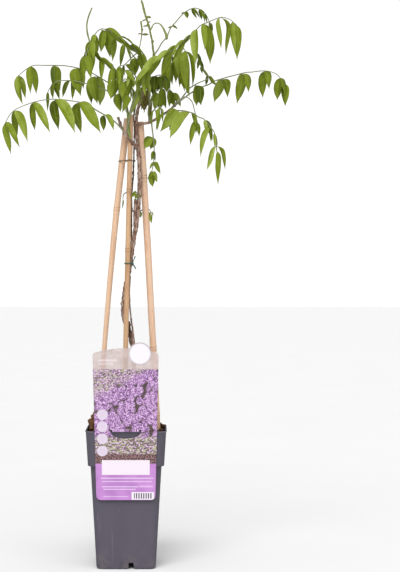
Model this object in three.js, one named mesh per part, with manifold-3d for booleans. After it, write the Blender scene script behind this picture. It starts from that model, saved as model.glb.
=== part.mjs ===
// A young climbing wisteria in a deep square nursery pot.
// Millimetres, +Z up, +Y away from the front of the pot. The origin is the middle of the face
// that the pot stands on.
import * as THREE from 'three';
import { mergeVertices } from 'three/addons/utils/BufferGeometryUtils.js';
import Module from 'manifold-3d';

const wasm = await Module();
wasm.setup();

// ---- driving dimensions -------------------------------------------------------------------

const GAP = 0.3; // air left between two pieces that touch
const OVERRUN = 2; // how far a cutting tool runs past what it cuts

const POT = {
  height: 225,
  shoulder: 168, // height of the step under the collar
  wall: 1.4,
  footHalf: 48.1, // half widths of the square sections
  bodyHalf: 57.6,
  collarLowHalf: 61.8,
  rimHalf: 65.2,
  stepRise: 0.5, // of the slope under the collar
  lip: 0.8,
  lipHeight: 2,
  footChamfer: 2.5,
  footCorner: 11, // corner radii
  rimCorner: 15,
  floorUnder: 9.6,
  floorThickness: 1.6,
  cornerSteps: 3,
};
const FOOT_BOSS = { radius: 3.6, sides: 10, into: 0.5 };
const DRAIN_NOTCH = { width: 9, height: 11, depth: 12, offset: 8.5 };
const DRAIN_HOLE = { radius: 4, spacing: 24, sides: 8 };

const SOIL = {
  top: 217,
  edgeDrop: 1,
  mound: 17,
  moundX: -50,
  moundY: 30,
  moundReach: 22,
  lump: 2.2,
  fineLump: 0.6, // share of a lump
  waves: [0.19, 0.23, 0.31], // of the lumps, in turns per millimetre times two pi
  phase: 1.1,
  ringShares: [0.72, 0.4, 0.12], // rings of the surface, as shares of the rim's
};

const CANE = { sides: 10, bore: 1.6, boreDepth: 5, nodeRise: 0.7, nodeLength: 7 };
// The axis runs from foot to top and bows to +X by bow in its middle; nodes are lengths from the
// foot.
const CANES = [
  {
    name: 'cane_left',
    top: [1.2, 4, 736],
    foot: [-49.6, 24, 160],
    topRadius: 5.8,
    footRadius: 3,
    bow: -5.6,
    nodes: [80, 190, 430],
  },
  {
    name: 'cane_middle',
    top: [7, -8, 741],
    foot: [-5.3, -33, 150],
    topRadius: 4.1,
    footRadius: 4.1,
    bow: 0,
    nodes: [60, 190, 369, 467],
  },
  {
    name: 'cane_right',
    top: [22.5, 6.5, 731],
    foot: [53, 21, 172],
    topRadius: 5.7,
    footRadius: 5.3,
    bow: 1,
    nodes: [75, 185, 470],
  },
];

const WIRE = { radius: 0.6, sides: 6, turnSteps: 4 };
const CANE_TIE_HEIGHT = 665;
const TWIST_TIE = {
  height: 496,
  stemRadius: 4, // of the main stem where it is tied
  knot: [3.2, -3.4, 0], // from the stem's axis
  upperEnd: [[2, -2, 4], [5, -2, 12]], // from the knot
  lowerEnd: [[3, -2, -4], [6, -3, -9]],
};

const LABEL = {
  thickness: 0.8,
  lean: 4.2, // degrees, top towards the front
  rimOffset: 1.6, // from the pot's rim to the sheet
  bottom: -111, // heights along the sheet, from the pot's rim
  edgeTop: 129,
  crownTop: 135,
  bottomHalf: 47.4,
  topHalf: 53.2,
  corner: 8,
  discX: 22.8,
  discUp: 126,
  discRadius: 18.4,
  discSides: 24,
  cornerSteps: 5,
  slotHalf: 25,
  slotTop: 3,
  slotDepth: 11,
  tongueInset: 3, // from the slot's ends
  tongueStep: 4, // narrower again where it hangs down
  tongueBehind: 1, // from the rim's inner face
  tongueDrop: 9,
};

// ---- colours ------------------------------------------------------------------------------

const finish = (color, roughness) => new THREE.MeshStandardMaterial({ color, roughness, metalness: 0 });
const potPlastic = finish(0x64616b, 0.5);
const soilFinish = finish(0x3a2416, 0.95);
const chipFinish = finish(0x9a7a58, 0.9);
const bamboo = finish(0xe0b487, 0.55);
const labelPlastic = finish(0xd5a0de, 0.35);
const wireFinish = finish(0x3f6a5c, 0.5);
const bark = finish(0x78594e, 0.85);
const greenBark = finish(0x7d8a3c, 0.6);
const leafGreen = finish(0x6f9a2c, 0.5);

// ---- solids and meshes --------------------------------------------------------------------

const vec = (p) => new THREE.Vector3(...p);

function toSolid(geometry) {
  const bare = geometry.index ? geometry.clone() : geometry;
  bare.deleteAttribute('normal');
  bare.deleteAttribute('uv');
  const merged = mergeVertices(bare, 1e-4);
  return new wasm.Manifold(
    new wasm.Mesh({
      numProp: 3,
      vertProperties: new Float32Array(merged.attributes.position.array),
      triVerts: new Uint32Array(merged.index.array),
    }),
  );
}

function toGeometry(solid) {
  const { vertProperties, triVerts } = solid.getMesh();
  const geometry = new THREE.BufferGeometry();
  geometry.setAttribute('position', new THREE.BufferAttribute(new Float32Array(vertProperties), 3));
  geometry.setIndex(new THREE.BufferAttribute(new Uint32Array(triVerts), 1));
  geometry.computeVertexNormals();
  return geometry;
}

// The largest body of a cut solid, without the shavings that the cut left.
function largestBody(solid) {
  return solid.decompose().reduce((best, body) => (body.volume() > best.volume() ? body : best));
}

const plant = new THREE.Group();

function addPiece(name, solid, material) {
  const mesh = new THREE.Mesh(toGeometry(solid), material);
  mesh.name = name;
  plant.add(mesh);
}

// Six times the volume that a triangle list encloses; negative where the faces point in.
function signedVolume(points, triangles) {
  return triangles.reduce((sum, [a, b, c]) => {
    return sum + points[a].dot(new THREE.Vector3().crossVectors(points[b], points[c]));
  }, 0);
}

// A closed skin through rings of equal length. The last ring may be a single point.
function loft(rings) {
  const sides = rings[0].length;
  const points = rings.flat();
  const triangles = [];
  for (let r = 0; r + 1 < rings.length; r += 1) {
    const a = r * sides;
    const b = a + sides;
    const pointed = rings[r + 1].length === 1;
    for (let i = 0; i < sides; i += 1) {
      const j = (i + 1) % sides;
      if (pointed) {
        triangles.push([a + i, a + j, b]);
      } else {
        triangles.push([a + i, a + j, b + j], [a + i, b + j, b + i]);
      }
    }
  }
  const closeEnd = (start, flip) => {
    for (let i = 1; i + 1 < sides; i += 1) {
      triangles.push(flip ? [start, start + i + 1, start + i] : [start, start + i, start + i + 1]);
    }
  };
  closeEnd(0, true);
  if (rings.at(-1).length > 1) {
    closeEnd((rings.length - 1) * sides, false);
  }
  if (signedVolume(points, triangles) < 0) {
    triangles.forEach((t) => t.reverse());
  }
  const geometry = new THREE.BufferGeometry().setFromPoints(points);
  geometry.setIndex(triangles.flat());
  return toSolid(geometry);
}

// A solid rod along a smooth curve; radiusAt gives its radius for a share of the length.
function sweep(curve, radiusAt, sides, steps) {
  const frames = curve.computeFrenetFrames(steps, false);
  const rings = [];
  for (let s = 0; s <= steps; s += 1) {
    const u = s / steps;
    const centre = curve.getPointAt(u);
    const radius = radiusAt(u);
    const ring = [];
    for (let i = 0; i < sides; i += 1) {
      const angle = (2 * Math.PI * i) / sides;
      const point = centre.clone();
      point.addScaledVector(frames.normals[s], radius * Math.cos(angle));
      point.addScaledVector(frames.binormals[s], radius * Math.sin(angle));
      ring.push(point);
    }
    rings.push(ring);
  }
  return loft(rings);
}

function alongStops(stops) {
  return (u) => {
    const place = u * (stops.length - 1);
    const i = Math.min(Math.floor(place), stops.length - 2);
    return THREE.MathUtils.lerp(stops[i], stops[i + 1], place - i);
  };
}

function placedSolid(geometry, matrix) {
  return toSolid(geometry.applyMatrix4(matrix));
}

function boxSolid(size, centre) {
  const box = new THREE.BoxGeometry(...size);
  return toSolid(box.translate(...centre));
}

function postSolid(radius, sides, low, high, x, y) {
  const post = new THREE.CylinderGeometry(radius, radius, high - low, sides);
  return toSolid(post.rotateX(Math.PI / 2).translate(x, y, (low + high) / 2));
}

// ---- pot ----------------------------------------------------------------------------------

function squareRing(half, corner, z) {
  const ring = [];
  for (let quarter = 0; quarter < 4; quarter += 1) {
    const centre = new THREE.Vector2(half - corner, half - corner);
    centre.rotateAround(new THREE.Vector2(), (quarter * Math.PI) / 2);
    for (let s = 0; s <= POT.cornerSteps; s += 1) {
      const angle = ((quarter + s / POT.cornerSteps) * Math.PI) / 2;
      ring.push(
        new THREE.Vector3(centre.x + corner * Math.cos(angle), centre.y + corner * Math.sin(angle), z),
      );
    }
  }
  return ring;
}

// Half width of the pot's outside at a height, below the shoulder and above it.
function potHalf(z) {
  if (z <= POT.shoulder) {
    return THREE.MathUtils.mapLinear(z, 0, POT.shoulder, POT.footHalf, POT.bodyHalf);
  }
  return THREE.MathUtils.mapLinear(z, POT.shoulder, POT.height, POT.collarLowHalf, POT.rimHalf);
}

const potCorner = (z) => THREE.MathUtils.mapLinear(z, 0, POT.height, POT.footCorner, POT.rimCorner);

function potRing(z, inset, half = potHalf(z)) {
  return squareRing(half - inset, potCorner(z) - inset, z);
}

function makePot() {
  const { wall, shoulder, height, stepRise, footChamfer, lip, lipHeight } = POT;
  const { floorUnder, floorThickness } = POT;
  const floorTop = floorUnder + floorThickness;
  const skirt = footChamfer + wall;
  let pot = loft([
    potRing(floorUnder, wall),
    potRing(footChamfer, wall),
    potRing(0, skirt),
    potRing(0, footChamfer),
    potRing(footChamfer, 0),
    potRing(shoulder, 0),
    potRing(shoulder + stepRise, 0),
    potRing(height - lipHeight, 0),
    potRing(height - lipHeight, -lip),
    potRing(height, -lip),
    potRing(height, wall),
    potRing(shoulder + wall + stepRise, wall),
    potRing(shoulder - wall, wall),
    potRing(floorTop, wall),
  ]);
  const { radius, sides, into } = FOOT_BOSS;
  pot = pot.add(postSolid(radius, sides, 0, floorUnder + into, 0, 0));
  for (let side = 0; side < 4; side += 1) {
    const turn = new THREE.Matrix4().makeRotationZ((side * Math.PI) / 2);
    const { width, depth, height: notchHeight, offset } = DRAIN_NOTCH;
    const notch = new THREE.BoxGeometry(width, depth, notchHeight * 2);
    const nearWall = new THREE.Matrix4().makeTranslation(offset, -POT.footHalf, 0);
    pot = pot.subtract(placedSolid(notch, turn.clone().multiply(nearWall)));
    const holeAt = new THREE.Vector3(DRAIN_HOLE.spacing, 0, 0).applyMatrix4(turn);
    pot = pot.subtract(
      postSolid(
        DRAIN_HOLE.radius,
        DRAIN_HOLE.sides,
        floorUnder - OVERRUN,
        floorTop + OVERRUN,
        holeAt.x,
        holeAt.y,
      ),
    );
  }
  return pot;
}

// ---- canes --------------------------------------------------------------------------------

// A turned rod along +Y from its foot: tapered, with swollen nodes and a hollow top.
function caneGeometry({ topRadius, footRadius, nodes, top, foot }, spare = 0) {
  const length = vec(top).distanceTo(vec(foot));
  const outline = [new THREE.Vector2(0, 0)];
  const addRing = (up, rise = 0) => {
    const radius = THREE.MathUtils.mapLinear(up, 0, length, footRadius, topRadius);
    outline.push(new THREE.Vector2(radius + rise + spare, up));
  };
  addRing(0);
  nodes.forEach((up) => {
    addRing(up - CANE.nodeLength);
    addRing(up, CANE.nodeRise);
    addRing(up + CANE.nodeLength);
  });
  addRing(length);
  outline.push(
    new THREE.Vector2(CANE.bore, length),
    new THREE.Vector2(CANE.bore, length - CANE.boreDepth),
    new THREE.Vector2(0, length - CANE.boreDepth),
  );
  return new THREE.LatheGeometry(outline, CANE.sides);
}

const caneBow = (cane, share) => 4 * cane.bow * share * (1 - share);

function caneSolid(cane, spare = 0) {
  const axis = vec(cane.top).sub(vec(cane.foot));
  const turn = new THREE.Quaternion();
  turn.setFromUnitVectors(new THREE.Vector3(0, 1, 0), axis.clone().normalize());
  const geometry = caneGeometry(cane, spare);
  const position = geometry.attributes.position;
  const shares = Array.from({ length: position.count }, (_, i) => position.getY(i) / axis.length());
  geometry.applyMatrix4(new THREE.Matrix4().compose(vec(cane.foot), turn, new THREE.Vector3(1, 1, 1)));
  shares.forEach((share, i) => position.setX(i, position.getX(i) + caneBow(cane, share)));
  return toSolid(geometry);
}

// Where a cane's axis crosses a height, and its radius there.
function caneAt(cane, z) {
  const share = THREE.MathUtils.inverseLerp(cane.foot[2], cane.top[2], z);
  const centre = vec(cane.foot).lerp(vec(cane.top), share);
  centre.x += caneBow(cane, share);
  return { centre, radius: THREE.MathUtils.lerp(cane.footRadius, cane.topRadius, share) };
}

// ---- ties ---------------------------------------------------------------------------------

// A closed wire loop that wraps two upright rods at one height.
function wireLoop(a, radiusA, b, radiusB, z) {
  const reach = WIRE.radius + GAP * 2;
  const facing = Math.atan2(b.y - a.y, b.x - a.x);
  const points = [];
  const arcSteps = WIRE.turnSteps;
  const halfTurn = (centre, radius, start) => {
    for (let s = 0; s <= arcSteps; s += 1) {
      const angle = start + (Math.PI * s) / arcSteps;
      const out = radius + reach;
      points.push(
        new THREE.Vector3(centre.x + out * Math.cos(angle), centre.y + out * Math.sin(angle), z),
      );
    }
  };
  halfTurn(b, radiusB, facing - Math.PI / 2);
  halfTurn(a, radiusA, facing + Math.PI / 2);
  return closedWire(points);
}

function closedWire(points) {
  const count = points.length;
  const up = new THREE.Vector3(0, 0, 1);
  const vertices = [];
  const triangles = [];
  points.forEach((point, p) => {
    const ahead = points[(p + 1) % count].clone().sub(points[(p + count - 1) % count]);
    const out = new THREE.Vector3().crossVectors(ahead, up).normalize();
    for (let i = 0; i < WIRE.sides; i += 1) {
      const angle = (2 * Math.PI * i) / WIRE.sides;
      const vertex = point.clone().addScaledVector(out, WIRE.radius * Math.cos(angle));
      vertices.push(vertex.addScaledVector(up, WIRE.radius * Math.sin(angle)));
      const a = p * WIRE.sides + i;
      const b = p * WIRE.sides + ((i + 1) % WIRE.sides);
      const shift = ((p + 1) % count) * WIRE.sides - p * WIRE.sides;
      triangles.push([a, b, b + shift], [a, b + shift, a + shift]);
    }
  });
  if (signedVolume(vertices, triangles) < 0) {
    triangles.forEach((t) => t.reverse());
  }
  const geometry = new THREE.BufferGeometry().setFromPoints(vertices);
  geometry.setIndex(triangles.flat());
  return toSolid(geometry);
}

function wireEnd(start, steps) {
  const points = [start, ...steps.map((step) => start.clone().add(vec(step)))];
  return sweep(new THREE.CatmullRomCurve3(points), () => WIRE.radius, WIRE.sides, points.length * 2);
}

// ---- stems --------------------------------------------------------------------------------

// Each route runs from the stem's foot to its tip; radii are spread evenly along it.
const STEMS = [
  {
    name: 'main_stem',
    route: [
      [10, -4, 190], [10, -2, 240], [11, 0, 290], [12, 1, 340], [9.5, 2, 366], [5, 4, 383],
      [-2.5, 5, 399], [-5.6, 4.5, 413], [-5.8, 3.5, 427], [-4.6, 2, 440], [0, -4, 466],
      [6, -11, 494], [9, -10, 520], [14, -7, 548], [18, -5, 577], [20.2, -4, 605], [21.3, -4, 633],
      [21, -4, 656], [19, -2, 680], [17, 0, 703], [16, 0, 733], [20, 3, 756], [27, 3, 779],
      [35, 0, 803], [42, -2, 820], [45, -4, 838], [43.5, -5, 850], [42.2, -7, 862],
      [39.8, -8, 873], [36.3, -8, 889], [31, -8, 905], [26.6, -8, 922], [24.6, -8, 929],
    ],
    radii: [4.2, 4, 3.8, 3.6, 3.7, 3.7, 3.4, 2.9, 2.3, 1.6, 1.7],
    sides: 7,
    steps: 52,
    material: bark,
  },
  {
    name: 'climbing_shoot',
    route: [
      [3, 14, 200], [8, 12, 280], [13, 10, 345], [10.8, 9, 379], [7.4, 9, 403], [5.2, 8, 426],
      [4.4, 6, 449], [6, 2, 476],
    ],
    radii: [1.9, 1.7, 1.6, 1.4, 1.3],
    sides: 6,
    steps: 16,
    material: bark,
  },
  {
    name: 'twining_stem',
    route: [
      [9, -10, 518], [8, -3, 548], [7.8, -2, 584], [8.3, -2, 611], [10.8, 0, 640], [12, 3, 680],
      [12.5, 5, 713], [12, 8, 742], [12, 11, 768],
    ],
    radii: [1.5, 1.5, 1.4, 1.2, 0.9],
    sides: 6,
    steps: 18,
    material: bark,
    from: 'main_stem',
  },
  {
    name: 'stub_low',
    route: [[7.8, 1, 364], [5.6, 0, 378], [4.2, -1, 390], [3.6, -1.5, 400]],
    radii: [3, 3, 2.6, 2.3],
    sides: 8,
    steps: 5,
    material: bark,
    from: 'main_stem',
  },
  {
    name: 'stub_high',
    route: [[14.2, -6.5, 556], [13.4, -8, 572], [13.9, -8, 588], [14.4, -7, 602]],
    radii: [2.1, 2.3, 2.3, 1.9],
    sides: 8,
    steps: 6,
    material: bark,
    from: 'main_stem',
  },
  {
    name: 'branch_left',
    route: [
      [17, -2, 685], [12, -13, 692], [6, -18, 699], [0, -19, 706], [-5, -17, 714],
      [-10, -14, 725], [-14, -12, 736],
    ],
    radii: [2.6, 2.3, 2.1, 2.3],
    sides: 7,
    steps: 10,
    material: bark,
    from: 'main_stem',
  },
  {
    name: 'branch_right',
    route: [
      [16, 0, 727], [22, -6, 726], [30, -7, 727], [39, -4, 729], [50, -2, 736], [63, -2, 744],
      [88, -5, 763],
    ],
    radii: [2.4, 2.1, 1.8, 1.3],
    sides: 7,
    steps: 12,
    material: bark,
    from: 'main_stem',
  },
  {
    name: 'shoot_left',
    route: [
      [6, -18, 699], [4, -21, 715], [3, -21, 729], [1, -19, 752], [-4, -14, 774], [-12, -10, 794],
      [-19, -8, 811], [-30, -6, 822], [-47, -6, 837], [-57, -8, 851], [-61.5, -8, 864],
      [-64.5, -8, 876], [-65.5, -8, 888], [-63, -8, 901], [-57, -8, 917],
    ],
    radii: [2, 1.9, 1.8, 1.7, 1.5, 1.3, 1.3, 1.1],
    sides: 6,
    steps: 32,
    material: greenBark,
    from: 'branch_left',
  },
  {
    name: 'shoot_right',
    route: [
      [39, -4, 729], [36, 3, 747], [41, 9, 770], [50, 11, 790], [60, 8, 809], [68, 4, 825],
    ],
    radii: [1.6, 1.5, 1.3, 0.9],
    sides: 6,
    steps: 14,
    material: greenBark,
    from: 'branch_right',
  },
  {
    name: 'shoot_upright',
    route: [
      [35, 0, 803], [27, 8, 829], [21, 13, 849], [24, 15, 871], [25, 16, 884], [23.5, 16, 899],
    ],
    radii: [1, 0.9, 0.8, 0.9, 1.7],
    sides: 6,
    steps: 14,
    material: greenBark,
    from: 'main_stem',
  },
  {
    name: 'shoot_hooked',
    route: [
      [38, -8, 876], [43.5, -11, 888], [48.5, -13, 891], [54.5, -16, 889], [59, -18, 884],
      [62.5, -20, 877], [65.5, -22, 869], [66, -23, 863],
    ],
    radii: [1, 0.9, 1, 1.9, 2.1],
    sides: 6,
    steps: 16,
    material: greenBark,
    from: 'main_stem',
  },
];

// Buds and furled leaf tips: height on the stem, length, lean to +X in degrees from hanging
// straight down, and radius.
const BUDS = [
  { stem: 'main_stem', height: 902, length: 9, lean: 84, radius: 2 },
  { stem: 'main_stem', height: 899, length: 9, lean: -64, radius: 1.3 },
  { stem: 'main_stem', height: 888, length: 10, lean: -82, radius: 1.5 },
  { stem: 'main_stem', height: 892, length: 5, lean: 100, radius: 1 },
  { stem: 'shoot_upright', height: 877, length: 12, lean: 88, radius: 2 },
  { stem: 'shoot_upright', height: 878, length: 7, lean: -88, radius: 1.2 },
];
const BUD = { footRadius: 0.5, tipRadius: 0.2, forward: -0.2, sides: 6, steps: 6 };
const HALVINGS = 30; // of a curve, to find a height on it

// The curve's point at a height, found by halving.
function pointAtHeight(curve, z) {
  let low = 0;
  let high = 1;
  for (let i = 0; i < HALVINGS; i += 1) {
    const middle = (low + high) / 2;
    if (curve.getPointAt(middle).z < z) {
      low = middle;
    } else {
      high = middle;
    }
  }
  return curve.getPointAt(low);
}

function budSolid(spot, { length, lean, radius }) {
  const tilt = THREE.MathUtils.degToRad(lean);
  const out = new THREE.Vector3(Math.sin(tilt), BUD.forward, -Math.cos(tilt));
  const tip = spot.clone().addScaledVector(out, length);
  const radiusAt = alongStops([BUD.footRadius, radius, radius, BUD.tipRadius]);
  return sweep(new THREE.LineCurve3(spot, tip), radiusAt, BUD.sides, BUD.steps);
}

function stemSolid({ name, route, radii, sides, steps }, spare = 0) {
  const curve = new THREE.CatmullRomCurve3(route.map(vec));
  const radiusAt = alongStops(radii);
  const rod = sweep(curve, (u) => radiusAt(u) + spare, sides, steps);
  const buds = BUDS.filter(({ stem }) => stem === name);
  return buds.reduce((stem, bud) => stem.add(budSolid(pointAtHeight(curve, bud.height), bud)), rod);
}

// ---- compound leaves ----------------------------------------------------------------------

const LEAF = {
  thickness: 0.8,
  rachisFoot: 1.2,
  rachisTip: 0.7,
  rachisSides: 3,
  rachisSpareSteps: 3, // beyond one for each knot of the route
  stalkHalf: 0.6,
  fullness: 1.12, // of a blade's width
  facing: 0.4, // share of a blade's depth that is left once it has turned to the front
  sideBow: 0.1, // bends to the leaflet's side and upwards, in its own lengths
  arch: 0.15,
  bowRise: 7, // how fast a bend builds up from the foot and dies away to the tip
  bowFall: 1.1,
  endShare: 0.99, // where the end leaflet springs
};
// Rings of a blade between foot and tip: shares of its length and of its widest half width.
const BLADE_RINGS = [[0.26, 1], [0.62, 0.78]];

// A leaf's route is its rachis. A pair is its share along the rachis, then the length and the
// lean to +X, in degrees from hanging straight down, of the front and the back leaflet. Where it
// differs from the rest of the leaf, the pair's own broad follows, and then the sway of both
// leaflets to +X, in their own lengths. An end is a length, a lean, and at need broad and sway.
// broad is a leaflet's width over its length, and spread is how far a pair opens, in degrees.
const LEAVES = [
  {
    name: 'leaf_high_left',
    from: 'shoot_left',
    route: [
      [-4, -14, 773], [-14, -4, 784], [-38, 12, 801], [-50, 26, 810], [-66, 38, 820],
      [-85, 50, 827], [-106, 60, 832], [-125, 69, 834], [-141, 76, 835], [-163, 84, 835.5],
      [-182, 89, 824], [-191, 91, 816],
    ],
    broad: 0.28,
    spread: 14,
    pairs: [
      [0.3, 49, 1, 51, 5, 0.32, -0.2, -0.1], [0.49, 51, 8, 37, 16, 0.3, -0.13, 0.02],
      [0.68, 50, 3, 45, 13, 0.24, 0.05, 0.07], [0.86, 51, -1, 49, 9, 0.2, -0.05, 0],
      [0.975, 46, 5, 42, 15, 0.2, -0.02, 0.02],
    ],
    end: [49, 11, 0.22, -0.02],
  },
  {
    name: 'leaf_low_left',
    from: 'branch_left',
    route: [
      [-4, -17, 712], [-19, -22, 728], [-35, -28, 738], [-48, -33, 745], [-59, -37, 752],
      [-75, -43, 757], [-91, -49, 759], [-106, -54, 760], [-122, -59, 760], [-138, -64, 757],
      [-154, -69, 752], [-169, -73, 745.5], [-177, -75, 741], [-185, -77, 733], [-194, -79, 716],
    ],
    broad: 0.27,
    spread: 14,
    pairs: [
      [0.19, 32, 31, 27, -2, 0.34, -0.02, -0.1], [0.395, 65, 35, 51, 4, 0.27, -0.02, -0.13],
      [0.56, 66, 29, 50, 4, 0.25, -0.05, -0.13], [0.735, 60, 31, 46, 5, 0.2, 0, 0],
      [0.875, 58, 24, 48, 4, 0.2, 0.04, 0], [0.975, 50, 29, 42, 5, 0.18, -0.04, -0.02],
    ],
    end: [50, 11, 0.18, -0.1],
  },
  {
    name: 'leaf_mid_left',
    from: 'shoot_left',
    route: [
      [1, -19, 752], [-11, -8, 769], [-26, 4, 778], [-38, 14, 786], [-69, 33, 798],
      [-93, 41, 804], [-110, 47, 805], [-119, 50, 804], [-126, 53, 799], [-131, 55, 793],
      [-135, 57, 786],
    ],
    broad: 0.22,
    spread: 14,
    pairs: [
      [0.55, 35, 13, 36, 12, 0.22, 0.06, 0.08], [0.715, 34, -24, 33, 4, 0.2, -0.08, 0.06],
      [0.87, 32, -7, 31, 12, 0.22, -0.08, -0.04],
    ],
    end: [34, -2, 0.16, 0],
  },
  {
    name: 'leaf_arch_left',
    from: 'main_stem',
    route: [
      [40, -1, 815], [30, -8, 828], [21, -14, 841], [8, -20, 851], [-4, -24, 859.5],
      [-15, -31, 866], [-26, -38, 873], [-36, -43, 876], [-42, -46, 875], [-50, -49, 867],
      [-55, -51, 859], [-61, -55, 844], [-62, -57, 837], [-66, -58, 829],
    ],
    broad: 0.26,
    spread: 12,
    pairs: [
      [0.2, 34, 20, 30, 8], [0.33, 38, 52, 34, 46, 0.22, 0, 0], [0.46, 42, 56, 38, 50, 0.22, 0, 0],
      [0.63, 44, 54, 40, 50, 0.2, 0, 0], [0.75, 26, -10, 34, 6, 0.3, 0, 0], [0.83, 36, 10, 34, -8],
      [0.92, 36, 13, 33, -10], [0.985, 42, 13, 28, -20],
    ],
    end: [38, -4],
  },
  {
    name: 'leaf_inner_arch',
    from: 'shoot_upright',
    route: [
      [28, 7, 827], [14, 9, 837], [4, 11, 851], [-3, 12, 859], [-10, 13, 868], [-21, 15, 875],
      [-35, 17, 883], [-43, 18, 885],
    ],
    broad: 0.27,
    spread: 14,
    pairs: [
      [0.19, 31, -2, 30, 0, 0.34, -0.06, -0.02], [0.5, 43, -9, 31, 22, 0.18, 0, 0],
      [0.79, 32, -11, 45, 1, 0.27, 0, -0.04], [0.94, 40, -8, 46, 12],
    ],
    end: [40, 19],
  },
  {
    name: 'leaf_inner_low',
    from: 'main_stem',
    route: [
      [37, 4, 808], [32, 2, 828], [27, 0, 840], [20, -4, 844], [12, -10, 838], [4, -17, 829],
      [-4, -26, 820], [-12, -34, 817],
    ],
    broad: 0.26,
    spread: 14,
    pairs: [[0.86, 28, 42, 18, 0]],
    end: [42, -5],
  },
  {
    name: 'leaf_front_left',
    from: 'shoot_left',
    route: [
      [-12, -10, 794], [-17, -14, 801], [-24, -20, 818], [-35, -25, 825], [-43, -29, 831],
      [-51, -32, 837], [-58, -34, 845],
    ],
    broad: 0.24,
    spread: 12,
    pairs: [
      [0.39, 24, 20, 24, 32], [0.57, 32, 40, 28, 46], [0.72, 41, 4, 32, 50, 0.2, 0.06, 0],
      [0.9, 32, 48, 26, 44],
    ],
    end: [24, 46],
  },
  {
    name: 'leaf_front',
    from: 'shoot_left',
    route: [
      [3, -19, 740], [-2, -28, 756], [-7, -38, 773], [-11, -47, 793], [-16, -54, 808],
      [-22, -60, 812],
    ],
    broad: 0.46,
    spread: 10,
    pairs: [
      [0.445, 33, 1, 31, -4, 0.46, 0.05, -0.1], [0.69, 32, 8, 34, -25],
      [0.89, 28, 8, 28, -6, 0.3],
    ],
    end: [36, -12, 0.15],
  },
  {
    name: 'leaf_front_up',
    from: 'main_stem',
    route: [
      [24, 3, 768], [20, -15, 782], [18.5, -29, 794], [13, -37, 804], [5, -43, 809], [-3, -48, 808],
    ],
    broad: 0.24,
    spread: 12,
    pairs: [
      [0.44, 63, -17, 36, 14, 0.2, 0, 0], [0.65, 30, 2, 34, -21], [0.84, 30, -12, 28, 10],
    ],
    end: [27, 42],
  },
  {
    name: 'leaf_high_right',
    from: 'branch_left',
    route: [
      [-1, -19, 707], [4, -28, 728], [10, -28, 752], [19, -29, 778], [26, -30, 794],
      [32, -34, 805], [39, -37, 816], [55, -44, 829], [66, -49, 836], [73, -51, 839],
      [84, -55, 848], [92, -58, 853.5], [102, -62, 860], [113, -66, 870.5], [121, -68, 878],
      [132, -71, 882], [145, -74, 887], [154, -76, 889], [168, -79, 884], [175, -80, 877],
      [178, -81, 874],
    ],
    broad: 0.22,
    spread: 12,
    pairs: [
      [0.38, 44, -4, 40, 8], [0.42, 54, -37, 44, -30, 0.26, 0.04, 0],
      [0.49, 56, -42, 48, -36, 0.26, 0.06, 0.02], [0.55, 42, -53, 44, -20, 0.26, 0.08, 0],
      [0.6, 36, -48, 38, -40, 0.22, 0.08, 0.04], [0.655, 38, -38, 44, -30, 0.18, 0.06, 0],
      [0.7, 34, -45, 30, -41, 0.2, 0.08, 0.06], [0.745, 60, -2, 38, -42, 0.2, -0.06, 0.04],
      [0.795, 46, 1, 66, 9, 0.21, -0.06, 0], [0.89, 55, 1, 62, 9, 0.12, -0.14, 0.3],
      [0.965, 56, 4, 50, 9, 0.16, -0.03, 0.1],
    ],
    end: [57, 2, 0.2, 0.08],
  },
  {
    name: 'leaf_right_mid',
    from: 'shoot_right',
    route: [
      [66, 5, 821], [75, -2, 839], [83, -7, 848], [90, -11, 852], [96, -15, 846], [99, -18, 836],
    ],
    broad: 0.2,
    spread: 12,
    pairs: [[0.335, 60, -3, 46, 8], [0.54, 50, 3, 70, 11], [0.84, 70, 2, 62, 12, 0.2, 0, 0.04]],
    end: [68, 4],
  },
  {
    name: 'leaf_far_right',
    from: 'branch_right',
    route: [
      [83, -5, 760], [94, -8, 768], [108, -8, 778], [126, -3, 788], [136, 0, 792],
      [144, 2, 797.5], [154, 5, 801], [166, 8, 805], [180, 11, 809], [198, 15, 814],
      [208, 17, 815], [222, 19, 817], [235, 21, 817], [250, 23, 812], [264, 24, 795],
    ],
    broad: 0.34,
    spread: 12,
    pairs: [
      [0.425, 34, 17, 41, -18, 0.34, 0.2, 0.17], [0.6, 35, 18, 51, -9, 0.29, 0.2, 0.12],
      [0.785, 33, 14, 45, -2, 0.32, 0.12, 0.07], [0.93, 32, 16, 38, -6],
    ],
    end: [38, 2],
  },
  {
    name: 'leaf_low_right',
    from: 'branch_right',
    route: [
      [55, -2, 739], [65, -6, 744], [73, -10, 747], [88, -15, 747], [96, -18, 746],
      [104, -21, 743.5], [112, -24, 740.5], [118, -26, 735], [126, -29, 732], [131.5, -31, 725.5],
      [138, -33, 717], [143, -35, 710], [146, -37, 698], [147, -39, 686], [147.5, -40, 677],
    ],
    broad: 0.2,
    spread: 12,
    pairs: [
      [0.24, 48, -40, 36, -26, 0.36, 0.04, 0.06], [0.39, 57, -38, 24, 20, 0.28, -0.1, 0.1],
      [0.58, 26, 12, 38, 22, 0.22, 0, 0.06],
      [0.69, 54, -18, 26, 4, 0.15, -0.02, 0], [0.78, 26, 0, 30, 6, 0.18, 0, -0.06],
      [0.93, 44, -22, 42, 20, 0.17, -0.02, 0.06],
    ],
    end: [56, 2, 0.2, 0.1],
  },
  {
    name: 'leaf_short_right',
    from: 'branch_right',
    route: [
      [74, -3, 752], [80, -12, 759], [88, -18, 765], [97, -18, 769], [107, -12, 763],
      [112, -8, 748], [117, -6, 728],
    ],
    broad: 0.3,
    spread: 12,
    pairs: [[0.94, 46, -14, 24, -4, 0.17, -0.04, 0]],
    end: [24, 7, 0.24],
  },
  {
    name: 'leaf_sprig_right',
    from: 'branch_right',
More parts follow.
